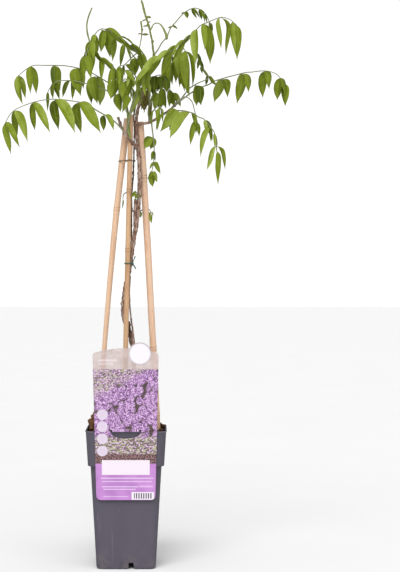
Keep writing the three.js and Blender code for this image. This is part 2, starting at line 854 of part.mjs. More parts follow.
    route: [
      [86, -5, 762], [95, 3, 775], [103, -5, 784], [112, -16, 789], [120, -17, 793], [129, -14, 797],
      [135, -9, 802], [131, -4, 812], [124, 1, 820], [119, 4, 832], [116, 7, 846],
    ],
    broad: 0.3,
    spread: 12,
    pairs: [
      [0.37, 37, 17, 35, 6, 0.34, 0.34, 0.12], [0.63, 18, -14, 22, 42], [0.8, 13, 10, 24, 36],
      [0.91, 20, 30, 18, -4],
    ],
    end: [19, 28],
  },
  {
    name: 'leaf_hanging',
    from: 'branch_right',
    route: [
      [41, -4, 729], [43, -6, 712], [45, -8, 695], [45.5, -8, 679], [44, -8, 659], [40, -8, 641],
    ],
    broad: 0.46,
    spread: 16,
    pairs: [
      [0.28, 25, -36, 21, -14, 0.5, 0, 0], [0.53, 18, -15, 18, 6, 0.3, -0.15, 0.16],
      [0.74, 25, 29, 15, -31, 0.3, 0.02, 0], [0.92, 16, -28, 21, 27],
    ],
    end: [20, 8],
  },
  {
    name: 'leaf_dark_right',
    from: 'shoot_right',
    route: [
      [38, 6, 758], [37, -7, 778], [40, -15, 796], [48, -22, 803], [58, -27, 803],
      [65, -31, 796],
    ],
    broad: 0.5,
    spread: 14,
    pairs: [[0.565, 22, -2, 24, 6], [0.727, 27, -8, 26, 8], [0.87, 24, -3, 24, 12]],
    end: [22, 4],
  },
  {
    name: 'leaf_back_right',
    from: 'shoot_right',
    route: [[40, 10, 765], [48, 18, 782], [58, 26, 790], [69, 32, 789], [77, 36, 783]],
    broad: 0.3,
    spread: 14,
    pairs: [[0.35, 33, -3, 30, 12], [0.6, 40, -5, 36, 13], [0.85, 32, 0, 32, 20]],
    end: [28, 30],
  },
  {
    name: 'leaf_top_right',
    from: 'shoot_right',
    route: [[62, 7, 813], [69, 14, 833], [77, 20, 840], [84, 26, 836], [88, 30, 822]],
    broad: 0.22,
    spread: 14,
    pairs: [[0.15, 44, -14, 40, 4], [0.4, 44, -8, 42, 8], [0.75, 48, 4, 52, 22]],
    end: [46, 18],
  },
  {
    name: 'leaf_under_right',
    from: 'shoot_right',
    route: [[38, -3, 735], [43, -12, 745], [50, -22, 752], [56, -32, 750], [60, -38, 740]],
    broad: 0.18,
    spread: 16,
    pairs: [[0.4, 28, -10, 24, 14], [0.72, 40, -6, 26, 10]],
    end: [32, -22],
  },
  {
    name: 'leaf_back',
    from: 'twining_stem',
    route: [[12, 8, 742], [16, 24, 766], [22, 44, 790], [30, 68, 800], [36, 90, 792], [38, 104, 780]],
    broad: 0.24,
    spread: 14,
    pairs: [[0.4, 40, -10, 36, 16], [0.6, 44, -6, 42, 8], [0.8, 42, -10, 38, 10]],
    end: [40, -4],
  },
  {
    name: 'leaf_back_left',
    from: 'twining_stem',
    route: [
      [12, 10, 758], [8, 28, 782], [2, 50, 800], [-4, 74, 812], [-8, 92, 810], [-8, 104, 800],
    ],
    broad: 0.24,
    spread: 14,
    pairs: [[0.4, 36, -12, 34, 12], [0.6, 40, -10, 38, 10], [0.82, 38, -12, 36, 10]],
    end: [38, -4],
  },
  {
    name: 'leaf_unfolding',
    from: 'main_stem',
    route: [
      [44, -4, 838], [52, 0, 850], [58, 3, 861], [66, 6, 871], [73, 9, 887], [82, 12, 898],
      [90, 15, 908], [100, 18, 917], [112, 20, 922], [122, 22, 920], [128, 23, 916.5],
      [135, 24, 906], [139, 25, 892],
    ],
    broad: 0.3,
    spread: 20,
    pairs: [
      [0.39, 12, 62, 8, -70], [0.61, 13, 20, 8, -80, 0.5], [0.685, 24, 40, 20, 34, 0.2, 0, 0],
      [0.77, 25, 25, 20, 17, 0.2, 0, 0], [0.85, 22, 8, 16, -4, 0.16, 0, 0], [0.95, 22, 14, 16, 2],
    ],
    end: [14, 14],
  },
  {
    name: 'young_leaf_left',
    from: 'twining_stem',
    route: [[8.3, -2, 611], [3, -3.5, 613], [-2.5, -7, 612], [-5, -13, 608], [-5.8, -20, 602]],
    broad: 0.3,
    spread: 10,
    pairs: [],
    end: [17, -4],
  },
  {
    name: 'young_leaf_middle',
    from: 'main_stem',
    route: [[18.6, -5, 598], [18, -13, 609], [15, -19, 615]],
    broad: 0.5,
    spread: 30,
    pairs: [[0.7, 11, 40, 10, -20]],
    end: [13, -35],
  },
  {
    name: 'young_leaf_right',
    from: 'main_stem',
    route: [[17.8, -5, 580], [22, 9, 583], [31, 20, 588], [37.5, 17, 586], [40.4, 9, 579]],
    broad: 0.35,
    spread: 16,
    pairs: [[0.3, 12, 4, 11, -10], [0.9, 10, -4, 10, 24]],
    end: [17, 2],
  },
];

// One leaflet: a thin blade that hangs from the rachis and bends out, up and to +X on its way.
function leafletSolid({ base, along, side, sway, length, lean, spread, broad }) {
  const tilt = THREE.MathUtils.degToRad(lean);
  const opening = side.y * Math.tan(THREE.MathUtils.degToRad(spread));
  const heading = new THREE.Vector3(Math.sin(tilt), opening, -Math.cos(tilt)).normalize();
  const across = new THREE.Vector3(along.x, along.y * LEAF.facing, along.z);
  across.addScaledVector(heading, -across.dot(heading)).normalize();
  const face = new THREE.Vector3().crossVectors(heading, across);
  const bend = side.clone().multiplyScalar(LEAF.sideBow);
  bend.x += sway;
  bend.z += LEAF.arch;
  bend.addScaledVector(heading, -LEAF.arch * heading.z);
  const spine = (share) => {
    const bow = (1 - share) ** LEAF.bowFall * (1 - Math.exp(-LEAF.bowRise * share));
    const point = base.clone().addScaledVector(heading, length * share);
    return point.addScaledVector(bend, length * bow);
  };
  const ring = (share, half) => {
    const centre = spine(share);
    const thin = LEAF.thickness / 2;
    return [
      centre.clone().addScaledVector(across, half),
      centre.clone().addScaledVector(face, thin),
      centre.clone().addScaledVector(across, -half),
      centre.clone().addScaledVector(face, -thin),
    ];
  };
  const widest = (length * broad * LEAF.fullness) / 2;
  const blade = BLADE_RINGS.map(([share, width]) => ring(share, widest * width));
  return loft([ring(0, LEAF.stalkHalf), ...blade, [spine(1)]]);
}

function leafSolid(leaf) {
  const { route, spread } = leaf;
  const curve = new THREE.CatmullRomCurve3(route.map(vec));
  const radiusAt = alongStops([LEAF.rachisFoot, LEAF.rachisTip]);
  const steps = route.length + LEAF.rachisSpareSteps;
  const rachis = sweep(curve, radiusAt, LEAF.rachisSides, steps);
  const leaflets = leaf.pairs.flatMap((pair) => {
    const [share, frontLength, frontLean, backLength, backLean] = pair;
    const [broad = leaf.broad, frontSway = 0, backSway = 0] = pair.slice(5);
    const base = curve.getPointAt(share);
    const along = curve.getTangentAt(share);
    const side = new THREE.Vector3(along.y, -along.x, 0).normalize();
    if (side.y > 0) {
      side.negate();
    }
    const shared = { base, along, spread, broad };
    const behind = side.clone().negate();
    return [
      leafletSolid({ ...shared, side, sway: frontSway, length: frontLength, lean: frontLean }),
      leafletSolid({ ...shared, side: behind, sway: backSway, length: backLength, lean: backLean }),
    ];
  });
  const [length, lean, broad = leaf.broad, sway = 0] = leaf.end;
  const tangent = curve.getTangentAt(1);
  const endLeaflet = leafletSolid({
    base: curve.getPointAt(LEAF.endShare),
    along: new THREE.Vector3(tangent.x, tangent.y, 0).normalize(),
    side: new THREE.Vector3(0, -1, 0),
    sway,
    length,
    lean,
    spread: 0,
    broad,
  });
  return [...leaflets, endLeaflet].reduce((whole, leaflet) => whole.add(leaflet), rachis);
}

// ---- label --------------------------------------------------------------------------------

// The sheet is drawn in its own plane, x across and y up from the pot's rim.
function labelSheet() {
  const { bottom, edgeTop, crownTop, bottomHalf, topHalf, corner } = LABEL;
  const half = (up) => THREE.MathUtils.mapLinear(up, bottom, edgeTop, bottomHalf, topHalf);
  const shoulder = edgeTop - corner;
  const outline = new THREE.Shape();
  outline.moveTo(-half(bottom) + corner, bottom);
  outline.lineTo(half(bottom) - corner, bottom);
  outline.quadraticCurveTo(half(bottom), bottom, half(bottom + corner), bottom + corner);
  outline.lineTo(half(shoulder), shoulder);
  outline.quadraticCurveTo(half(edgeTop), edgeTop, half(edgeTop) - corner, edgeTop);
  outline.quadraticCurveTo(0, 2 * crownTop - edgeTop, -half(edgeTop) + corner, edgeTop);
  outline.quadraticCurveTo(-half(edgeTop), edgeTop, -half(shoulder), shoulder);
  outline.lineTo(-half(bottom + corner), bottom + corner);
  outline.quadraticCurveTo(-half(bottom), bottom, -half(bottom) + corner, bottom);
  const slot = new THREE.Path();
  slot.moveTo(-LABEL.slotHalf, LABEL.slotTop);
  slot.quadraticCurveTo(-LABEL.slotHalf, -LABEL.slotDepth, 0, -LABEL.slotDepth);
  slot.quadraticCurveTo(LABEL.slotHalf, -LABEL.slotDepth, LABEL.slotHalf, LABEL.slotTop);
  outline.holes.push(slot);
  return outline;
}

function labelMatrix() {
  const lean = THREE.MathUtils.degToRad(90 + LABEL.lean);
  const turn = new THREE.Quaternion().setFromAxisAngle(new THREE.Vector3(1, 0, 0), lean);
  const hook = new THREE.Vector3(0, -POT.rimHalf - POT.lip - LABEL.rimOffset, POT.height);
  return new THREE.Matrix4().compose(hook, turn, new THREE.Vector3(1, 1, 1));
}

// The flap that passes back over the rim and hangs down inside it; spare widens it.
function labelTongue(spare = 0) {
  const { slotHalf, slotTop, thickness, tongueDrop, rimOffset } = LABEL;
  const half = slotHalf - LABEL.tongueInset + spare;
  const front = -POT.rimHalf - POT.lip - rimOffset - thickness;
  const inner = -POT.rimHalf + POT.wall + LABEL.tongueBehind;
  const level = POT.height + slotTop;
  const across = boxSolid(
    [2 * half, inner - front + 2 * spare, thickness + 2 * spare],
    [0, (inner + front) / 2, level + thickness / 2],
  );
  const down = boxSolid(
    [2 * (half - LABEL.tongueStep), thickness + 2 * spare, tongueDrop + 2 * spare],
    [0, inner, level + thickness - tongueDrop / 2],
  );
  return across.add(down);
}

function makeLabel() {
  const sheet = new THREE.ExtrudeGeometry(labelSheet(), {
    depth: LABEL.thickness,
    bevelEnabled: false,
    curveSegments: LABEL.cornerSteps,
  });
  const { discRadius, discSides, discX, discUp, thickness } = LABEL;
  const disc = new THREE.CylinderGeometry(discRadius, discRadius, thickness, discSides);
  disc.rotateX(Math.PI / 2).translate(discX, discUp, thickness / 2);
  const flat = toSolid(sheet).add(toSolid(disc));
  const placed = flat.transform(labelMatrix().elements);
  return placed.add(labelTongue());
}

// ---- soil and bark chips ------------------------------------------------------------------

// Height of the loose soil's surface: lumpy, with a mound at the left.
function soilHeight(x, y) {
  const [alongX, alongY, across] = SOIL.waves;
  const coarse = Math.sin(x * alongX + SOIL.phase) * Math.cos(y * alongY);
  const lumps = coarse + SOIL.fineLump * Math.sin((x + y) * across);
  const away = Math.hypot(x - SOIL.moundX, y - SOIL.moundY) / SOIL.moundReach;
  return SOIL.top + SOIL.lump * lumps + SOIL.mound * Math.exp(-away * away);
}

function makeSoil(cutters) {
  const inset = POT.wall + GAP;
  const floorTop = POT.floorUnder + POT.floorThickness + GAP;
  const rings = [
    potRing(floorTop, inset),
    potRing(POT.shoulder - POT.wall - GAP, inset),
    potRing(POT.shoulder + POT.wall + POT.stepRise + GAP, inset),
    potRing(SOIL.top - SOIL.edgeDrop, inset),
  ];
  SOIL.ringShares.forEach((share) => {
    const ring = potRing(SOIL.top, inset).map(({ x, y }) => {
      return new THREE.Vector3(x * share, y * share, soilHeight(x * share, y * share));
    });
    rings.push(ring);
  });
  return cutters.reduce((soil, cutter) => soil.subtract(cutter), loft(rings));
}

const CHIPS = [
  { at: [-57, 10, 232], size: [13, 16, 12], turn: [0.3, 0.5, 0.2] },
  { at: [-54, 34, 241], size: [15, 12, 9], turn: [0.7, -0.3, 0.8] },
  { at: [-57, -16, 226], size: [8, 11, 6], turn: [-0.2, 0.2, 1.1] },
  { at: [57, 38, 226], size: [10, 14, 7], turn: [0.1, -0.3, 0.5] },
];

function chipSolid({ at, size, turn }) {
  const chip = new THREE.DodecahedronGeometry(0.5, 0);
  const matrix = new THREE.Matrix4().compose(
    vec(at),
    new THREE.Quaternion().setFromEuler(new THREE.Euler(...turn)),
    vec(size),
  );
  return placedSolid(chip, matrix);
}

// ---- assembly -----------------------------------------------------------------------------

addPiece('pot', makePot(), potPlastic);

const spareSolids = new Map();
CANES.forEach((cane) => {
  addPiece(cane.name, caneSolid(cane), bamboo);
  spareSolids.set(cane.name, caneSolid(cane, GAP));
});

STEMS.forEach((stem) => {
  const solid = stemSolid(stem);
  const parent = spareSolids.get(stem.from);
  addPiece(stem.name, parent ? largestBody(solid.subtract(parent)) : solid, stem.material);
  spareSolids.set(stem.name, stemSolid(stem, GAP));
});

LEAVES.forEach((leaf) => {
  const solid = largestBody(leafSolid(leaf).subtract(spareSolids.get(leaf.from)));
  addPiece(leaf.name, solid, leafGreen);
});

const [leftCane, middleCane] = CANES;
const leftTied = caneAt(leftCane, CANE_TIE_HEIGHT);
const middleTied = caneAt(middleCane, CANE_TIE_HEIGHT);
const caneTie = wireLoop(
  leftTied.centre,
  leftTied.radius,
  middleTied.centre,
  middleTied.radius,
  CANE_TIE_HEIGHT,
);
addPiece('cane_tie', caneTie, wireFinish);

const tiedCane = caneAt(middleCane, TWIST_TIE.height);
const tiedStem = pointAtHeight(new THREE.CatmullRomCurve3(STEMS[0].route.map(vec)), TWIST_TIE.height);
const twistLoop = wireLoop(
  tiedCane.centre,
  tiedCane.radius,
  tiedStem,
  TWIST_TIE.stemRadius,
  TWIST_TIE.height,
);
const knot = tiedStem.clone().add(vec(TWIST_TIE.knot));
const twistTie = twistLoop.add(wireEnd(knot, TWIST_TIE.upperEnd)).add(wireEnd(knot, TWIST_TIE.lowerEnd));
addPiece('twist_tie', twistTie, wireFinish);

addPiece('plant_label', makeLabel(), labelPlastic);

const soilCutters = [
  ...CANES.map((cane) => spareSolids.get(cane.name)),
  spareSolids.get('main_stem'),
  spareSolids.get('climbing_shoot'),
  labelTongue(GAP),
];
addPiece('potting_soil', makeSoil(soilCutters), soilFinish);
CHIPS.forEach((chip, i) => addPiece(`bark_chip_${i + 1}`, chipSolid(chip), chipFinish));

export default plant;
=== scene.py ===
"""A young wisteria on bamboo canes in a deep square nursery pot: the visible model."""
import bisect
import math
import random

import bpy
from mathutils import Euler, Matrix, Quaternion, Vector, noise


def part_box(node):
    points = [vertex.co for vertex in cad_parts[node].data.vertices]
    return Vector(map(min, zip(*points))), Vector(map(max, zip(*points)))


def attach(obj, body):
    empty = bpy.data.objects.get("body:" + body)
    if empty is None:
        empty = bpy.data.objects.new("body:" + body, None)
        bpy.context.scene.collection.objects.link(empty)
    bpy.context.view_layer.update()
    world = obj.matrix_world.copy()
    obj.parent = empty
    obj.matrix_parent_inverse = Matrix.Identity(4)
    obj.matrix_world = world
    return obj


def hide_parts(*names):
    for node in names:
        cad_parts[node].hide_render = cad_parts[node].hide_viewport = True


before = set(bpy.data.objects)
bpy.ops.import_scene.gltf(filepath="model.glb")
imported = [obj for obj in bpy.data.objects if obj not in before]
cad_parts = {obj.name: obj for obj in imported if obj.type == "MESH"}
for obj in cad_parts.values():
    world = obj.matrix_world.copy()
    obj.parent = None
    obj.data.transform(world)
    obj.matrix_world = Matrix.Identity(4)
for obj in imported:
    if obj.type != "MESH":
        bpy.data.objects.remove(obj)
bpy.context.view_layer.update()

MM = 0.001
UP = Vector((0, 0, 1))

# ---- camera, light and floor ---------------------------------------------------------------

CAMERA_PLACE = Vector((50, -2400, 459)) * MM
CAMERA_LENS = 91.43
PICTURE_HEIGHT = 572  # pixels of the picture's long side
OBJECT_LEFT_BY = 43.1  # pixels from the picture's middle to the camera's axis
SOFTBOX_AT = Vector((0, -0.6, 0.8))
SOFTBOX_EDGE = -0.3  # cosine of the angle from the softbox where its light has faded out
ROOM_LIGHT, SOFTBOX_LIGHT, BACKDROP_LIGHT = 0.12, 0.78, 1.1
# name, turn in degrees, strength, size in degrees
LAMPS = [("key", (44, 0, -14), 1.65, 35), ("fill", (58, 0, 22), 0.65, 60)]
FLOOR_REACH = 30


def show(name, data):
    """A new object in the scene."""
    made = bpy.data.objects.new(name, data)
    bpy.context.scene.collection.objects.link(made)
    return made


def make_camera():
    data = bpy.data.cameras.new("camera")
    data.lens = CAMERA_LENS
    data.shift_x = OBJECT_LEFT_BY / PICTURE_HEIGHT
    camera = show("camera", data)
    camera.location = CAMERA_PLACE
    camera.rotation_euler = (math.radians(90), 0, 0)
    bpy.context.scene.camera = camera


def make_light():
    """A world that glows from a soft box above the camera, and two broad lamps."""
    scene = bpy.context.scene
    scene.view_settings.view_transform = "Standard"
    scene.world = bpy.data.worlds.new("studio")
    scene.world.use_nodes = True
    studio = Nodes(scene.world.node_tree)
    direction = studio.node("TexCoord").outputs["Generated"]
    values = {0: direction, 1: SOFTBOX_AT.normalized()}
    facing = studio.node("VectorMath", values, operation="DOT_PRODUCT").outputs["Value"]
    values = {"Value": facing, "From Min": SOFTBOX_EDGE, "To Min": ROOM_LIGHT, "To Max": SOFTBOX_LIGHT}
    glow = studio.node("MapRange", values).outputs["Result"]
    seen = studio.node("LightPath").outputs["Is Camera Ray"]
    shown = studio.node("Mix", {"Factor": seen, "A": glow, "B": BACKDROP_LIGHT}).outputs["Result"]
    background = studio.tree.nodes["Background"]
    studio.put(background.inputs["Color"], (1, 1, 1, 1))
    studio.put(background.inputs["Strength"], shown)
    for name, turn, strength, size in LAMPS:
        data = bpy.data.lights.new(name, "SUN")
        data.energy = strength
        data.angle = math.radians(size)
        show(name, data).rotation_euler = [math.radians(a) for a in turn]


def make_floor():
    corners = [(x * FLOOR_REACH, y * FLOOR_REACH, 0) for x, y in ((-1, -1), (1, -1), (1, 1), (-1, 1))]
    mesh = bpy.data.meshes.new("floor")
    mesh.from_pydata(corners, [], [(0, 1, 2, 3)])
    s = Shading("floor", 0.9, specular=0.1)
    mesh.materials.append(s.finish(s.mix(s.noise(s.place(), 3), (246, 246, 246), (250, 250, 250))))
    floor = show("floor", mesh)


# ---- node materials ------------------------------------------------------------------------


def linear(color):
    """A linear colour from 0-255 display values."""
    return tuple(((v / 255 + 0.055) / 1.055) ** 2.4 if v > 10 else v / 3294 for v in color) + (1,)


class Value:
    """A number socket that takes part in plain arithmetic."""

    def __init__(self, shading, socket):
        self.math = shading.math
        self.socket = socket

    def __add__(self, other):
        return self.math("ADD", self, other)

    def __sub__(self, other):
        return self.math("SUBTRACT", self, other)

    def __rsub__(self, other):
        return self.math("SUBTRACT", other, self)

    def __mul__(self, other):
        return self.math("MULTIPLY", self, other)

    def __abs__(self):
        return self.math("ABSOLUTE", self)


class Nodes:
    """Adds nodes to a tree; sockets, Values and numbers can be mixed freely as inputs."""

    def __init__(self, tree):
        self.tree = tree

    def put(self, socket, value):
        value = getattr(value, "socket", value)
        if isinstance(value, bpy.types.NodeSocket):
            self.tree.links.new(value, socket)
        else:
            socket.default_value = value

    def node(self, kind, values=(), **settings):
        made = self.tree.nodes.new("ShaderNode" + kind)
        for key, value in settings.items():
            setattr(made, key, value)
        for key, value in dict(values).items():
            self.put(made.inputs[key], value)
        return made


class Shading(Nodes):
    """Builds one node material; colours are given as 0-255 display values or sockets."""

    def __init__(self, name, roughness, specular=0.5):
        self.material = bpy.data.materials.new(name)
        self.material.use_nodes = True
        super().__init__(self.material.node_tree)
        self.shader = self.tree.nodes["Principled BSDF"]
        self.put(self.shader.inputs["Roughness"], roughness)
        self.put(self.shader.inputs["Specular IOR Level"], specular)

    def math(self, operation, *values, clamp=False):
        made = self.node("Math", dict(enumerate(values)), operation=operation, use_clamp=clamp)
        return Value(self, made.outputs[0])

    def mix(self, share, *colors):
        """The first colour, replaced by the second where share is 1."""
        first, second = (linear(c) if isinstance(c, tuple) else c for c in colors)
        return self.node("Mix", {0: share, 6: first, 7: second}, data_type="RGBA").outputs[2]

    def place(self):
        """The piece's own coordinates in metres."""
        return self.node("TexCoord").outputs["Object"]

    def split(self, vector):
        return [Value(self, socket) for socket in self.node("SeparateXYZ", {0: vector}).outputs]

    def tagged(self, name):
        """The three numbers that Shape stores with each vertex."""
        return self.split(self.node("Attribute", attribute_name=name).outputs["Vector"])

    def stretched(self, vector, scale):
        return self.node("VectorMath", {0: vector, 1: scale}, operation="MULTIPLY").outputs[0]

    def noise(self, vector, scale, detail=3, roughness=0.55):
        values = {"Vector": vector, "Scale": scale, "Detail": detail, "Roughness": roughness}
        return Value(self, self.node("TexNoise", values).outputs["Fac"])

    def cells(self, vector, scale, randomness=1):
        values = {"Vector": vector, "Scale": scale, "Randomness": randomness}
        return Value(self, self.node("TexVoronoi", values).outputs["Distance"])

    def step(self, value, low, high):
        """0 below low, 1 above high, smooth between."""
        values = {"Value": value, "From Min": low, "From Max": high}
        return Value(self, self.node("MapRange", values, interpolation_type="SMOOTHSTEP").outputs[0])

    def between(self, value, low, high, soft):
        """1 where low < value < high."""
        rise = self.step(value, low - soft, low + soft)
        fall = self.step(value, high - soft, high + soft)
        return self.math("SUBTRACT", rise, fall, clamp=True)

    def bump(self, height, distance, strength=1.0):
        return self.node("Bump", {"Height": height, "Distance": distance, "Strength": strength}).outputs[0]

    def finish(self, color, roughness=None, normal=None):
        for name, value in (("Base Color", color), ("Roughness", roughness), ("Normal", normal)):
            if value is not None:
                self.put(self.shader.inputs[name], value)
        return self.material


def leaf_material(name, light, middle, dark, withered, shine):
    """Leaf blade: leaf_place holds across (-1 to 1), along (0 to 1) and a tone that paints light and shade
    (pale where a leaflet or blade half faces the light, dark where it is shaded) and, below 0, withering.
    """
    veins, slant, see_through = 13.0, 2.6, 0.3
    s = Shading(name, 0.5, specular=0.2)
    across, along, light_shade_wither = s.tagged("leaf_place")
    side = abs(across)
    place = s.place()
    blotch = s.noise(place, 55, detail=4)
    fine = s.noise(place, 420, detail=2)
    # painted light and shade: the ramp from dark to light turns the tone into colour, so shaded leaflets and
    # blade halves come out dark and lit ones pale; the blotches vary it at random
    shade = light_shade_wither + (blotch - 0.5) * 0.7
    color = s.mix(s.step(shade, 0.1, 0.55), dark, middle)
    color = s.mix(s.step(shade, 0.5, 1.0), color, light)
    color = s.mix(s.step(light_shade_wither, -0.05, -0.2), color, withered)
    wave = abs(s.math("FRACT", along * veins - side * slant) - 0.5)
    vein = 1.0 - s.step(wave, 0.02, 0.12)
    rib = 1.0 - s.step(side, 0.03, 0.09)
    line = s.math("MAXIMUM", vein * 0.3, rib)
    color = s.mix(line * 0.45, color, light)
    color = s.mix(s.step(side, 0.82, 1.0) * 0.25, color, dark)
    height = line * -1.0 + s.cells(place, 900) * 0.35 + fine * 0.4
    s.finish(color, fine * 0.2 + shine, s.bump(height, 0.0004, 0.55))
    through = s.node("BsdfTranslucent", {"Color": s.mix(0.35, color, light)}).outputs[0]
    blend = s.node("MixShader", {0: see_through, 1: s.shader.outputs[0], 2: through})
    s.put(s.tree.nodes["Material Output"].inputs["Surface"], blend.outputs[0])
    return s.material


def stalk_material():
    """Rachis and leaf stalks: pale grey-green, browner in blotches."""
    s = Shading("leaf_stalk", 0.55)
    place = s.place()
    color = s.mix(s.step(s.noise(place, 120), 0.3, 0.75), (112, 122, 84), (140, 142, 112))
    color = s.mix(s.step(s.noise(place, 40), 0.55, 0.75), color, (128, 112, 82))
    return s.finish(color, normal=s.bump(s.noise(place, 900), 0.0002, 0.5))


def bark_material(name, base, pale, deep, green):
    """Young bark: long fissures, grey skin patches and corky dots, green in the crown."""
    green_from, green_to = 0.73, 0.84  # heights in metres
    s = Shading(name, 0.8, specular=0.25)
    place = s.place()
    fibre = s.noise(s.stretched(place, (1, 1, 0.22)), 520, detail=5, roughness=0.65)
    color = s.mix(s.step(s.noise(place, 90), 0.38, 0.66), base, pale)
    color = s.mix(s.step(fibre, 0.62, 0.36), color, deep)
    dots = s.cells(place, 380)
    color = s.mix(s.step(dots, 0.2, 0.08) * 0.6, color, pale)
    color = s.mix(s.step(s.split(place)[2], green_from, green_to), color, green)
    height = fibre * 0.9 + s.step(dots, 0.2, 0.1) * 0.5
    return s.finish(color, normal=s.bump(height, 0.0011, 0.75))


def green_shoot_material():
    s = Shading("green_shoot", 0.5)
    place = s.place()
    streak = s.noise(s.stretched(place, (1, 1, 0.2)), 420)
    color = s.mix(s.step(streak, 0.35, 0.7), (96, 112, 40), (140, 150, 82))
    color = s.mix(s.step(s.noise(place, 60), 0.5, 0.8), color, (132, 104, 66))
    return s.finish(color, normal=s.bump(streak, 0.0005, 0.6))


def bamboo_material(name, body, warm, pale, rings):
    """Bamboo: long fine grain, warm mottling and dark scars at the joints.
    The last number of cane_place is 1 on a scar."""
    s = Shading(name, 0.45, specular=0.45)
    ring = s.tagged("cane_place")[2]
    place = s.place()
    grain = s.noise(s.stretched(place, (1, 1, 0.03)), 900, detail=4, roughness=0.7)
    broad = s.noise(s.stretched(place, (1, 1, 0.08)), 110)
    color = s.mix(s.step(broad, 0.32, 0.7), body, warm)
    color = s.mix(s.step(grain, 0.4, 0.75) * 0.55, color, pale)
    speck = s.cells(s.stretched(place, (1, 1, 0.25)), 210)
    dark = s.step(speck, 0.12, 0.03) * s.step(s.noise(place, 30), 0.5, 0.62)
    color = s.mix(dark * 0.7, color, rings)
    color = s.mix(ring * 0.75, color, rings)
    return s.finish(color, grain * 0.25 + 0.36, s.bump(grain + speck * 0.3, 0.0004, 0.5))


def pot_material():
    """Recycled grey plastic: fine moulding grain, faint flow marks, scuffs on the edges and
    a little dust near the foot."""
    dust_height = 0.045
    s = Shading("pot_plastic", 0.5, specular=0.1)
    place = s.place()
    flow = s.noise(s.stretched(place, (1, 1, 0.35)), 26)
    grain = s.noise(place, 1400, detail=2)
    color = s.mix(flow, (80, 76, 86), (91, 87, 97))
    edges = s.node("NewGeometry").outputs["Pointiness"]
    color = s.mix(s.step(edges, 0.53, 0.62), color, (124, 121, 132))
    low = s.step(s.split(place)[2], dust_height, 0.0)
    dust = low * s.step(s.noise(place, 70, detail=5), 0.45, 0.7)
    color = s.mix(dust * 0.25, color, (132, 122, 112))
    streak = s.noise(s.stretched(place, (1, 1, 0.06)), 160, detail=4)
    color = s.mix(s.step(streak, 0.64, 0.74) * 0.22, color, (128, 126, 134))
    rough = s.noise(place, 240) * 0.2 + 0.5
    return s.finish(color, rough, s.bump(grain * 0.5 + flow * 0.6, 0.0006, 0.35))


def soil_material(name, dark, middle, pale, dotted):
    s = Shading(name, 0.95, specular=0.15)
    place = s.place()
    clump = s.noise(place, 95, detail=6, roughness=0.7)
    fine = s.noise(place, 620, detail=4, roughness=0.75)
    color = s.mix(s.step(clump, 0.35, 0.62), dark, middle)
    color = s.mix(s.step(fine, 0.55, 0.75) * dotted, color, pale)
    return s.finish(color, normal=s.bump(clump + fine * 0.5, 0.003, 0.9))


def wire_material(name, color, worn):
    s = Shading(name, 0.5)
    wear = s.noise(s.place(), 500)
    mixed = s.mix(s.step(wear, 0.55, 0.75), color, worn)
    return s.finish(mixed, normal=s.bump(wear, 0.0002, 0.5))


# ---- curves and meshes ---------------------------------------------------------------------


def points(rows):
    return [Vector(row) * MM for row in rows]


class Path:
    """A centripetal Catmull-Rom curve, read by its share of length."""

    FINE = 24
    NEAR = 0.004

    def __init__(self, knots):
        ends = [2 * knots[0] - knots[1], *knots, 2 * knots[-1] - knots[-2]]
        self.line = [knots[0].copy()]
        for a, b, c, d in zip(ends, ends[1:], ends[2:], ends[3:]):
            before, here, after = (max((q - p).length ** 0.5, 1e-6) for p, q in ((a, b), (b, c), (c, d)))
            start = ((b - a) / before - (c - a) / (before + here) + (c - b) / here) * here
            stop = ((c - b) / here - (d - b) / (here + after) + (d - c) / after) * here
            for i in range(1, self.FINE + 1):
                t = i / self.FINE
                cubic = 2 * (b - c) + start + stop
                square = 3 * (c - b) - 2 * start - stop
                self.line.append(b + start * t + square * t**2 + cubic * t**3)
        self.reach = [0.0]
        for p, q in zip(self.line, self.line[1:]):
            self.reach.append(self.reach[-1] + (q - p).length)
        self.length = self.reach[-1]

    def at(self, share):
        far = min(max(share, 0.0), 1.0) * self.length
        i = min(max(bisect.bisect_right(self.reach, far) - 1, 0), len(self.line) - 2)
        step = self.reach[i + 1] - self.reach[i]
        return self.line[i].lerp(self.line[i + 1], (far - self.reach[i]) / step if step else 0)

    def tangent(self, share):
        return (self.at(share + self.NEAR) - self.at(share - self.NEAR)).normalized()


def stops(values, unit=1):
    """A function that runs evenly through the values as its input goes from 0 to 1."""
    values = [v * unit for v in values]

    def value(share):
        place = min(max(share, 0), 1) * (len(values) - 1)
        i = min(int(place), len(values) - 2)
        return values[i] + (values[i + 1] - values[i]) * (place - i)

    return value


def circle(sides):
    """Cosine and sine of evenly spaced angles."""
    return [(math.cos(math.tau * i / sides), math.sin(math.tau * i / sides)) for i in range(sides)]


def ring_faces(rings, count):
    """The faces between neighbouring rings of count points each."""
    faces = []
    for r in range(rings - 1):
        a, b = r * count, (r + 1) * count
        for i in range(count):
            j = (i + 1) % count
            faces.append((a + i, a + j, b + j, b + i))
    return faces


def lid(ring, count, turned=False):
    """One face that closes a ring."""
    corners = range(ring * count, (ring + 1) * count)
    return tuple(reversed(corners) if turned else corners)


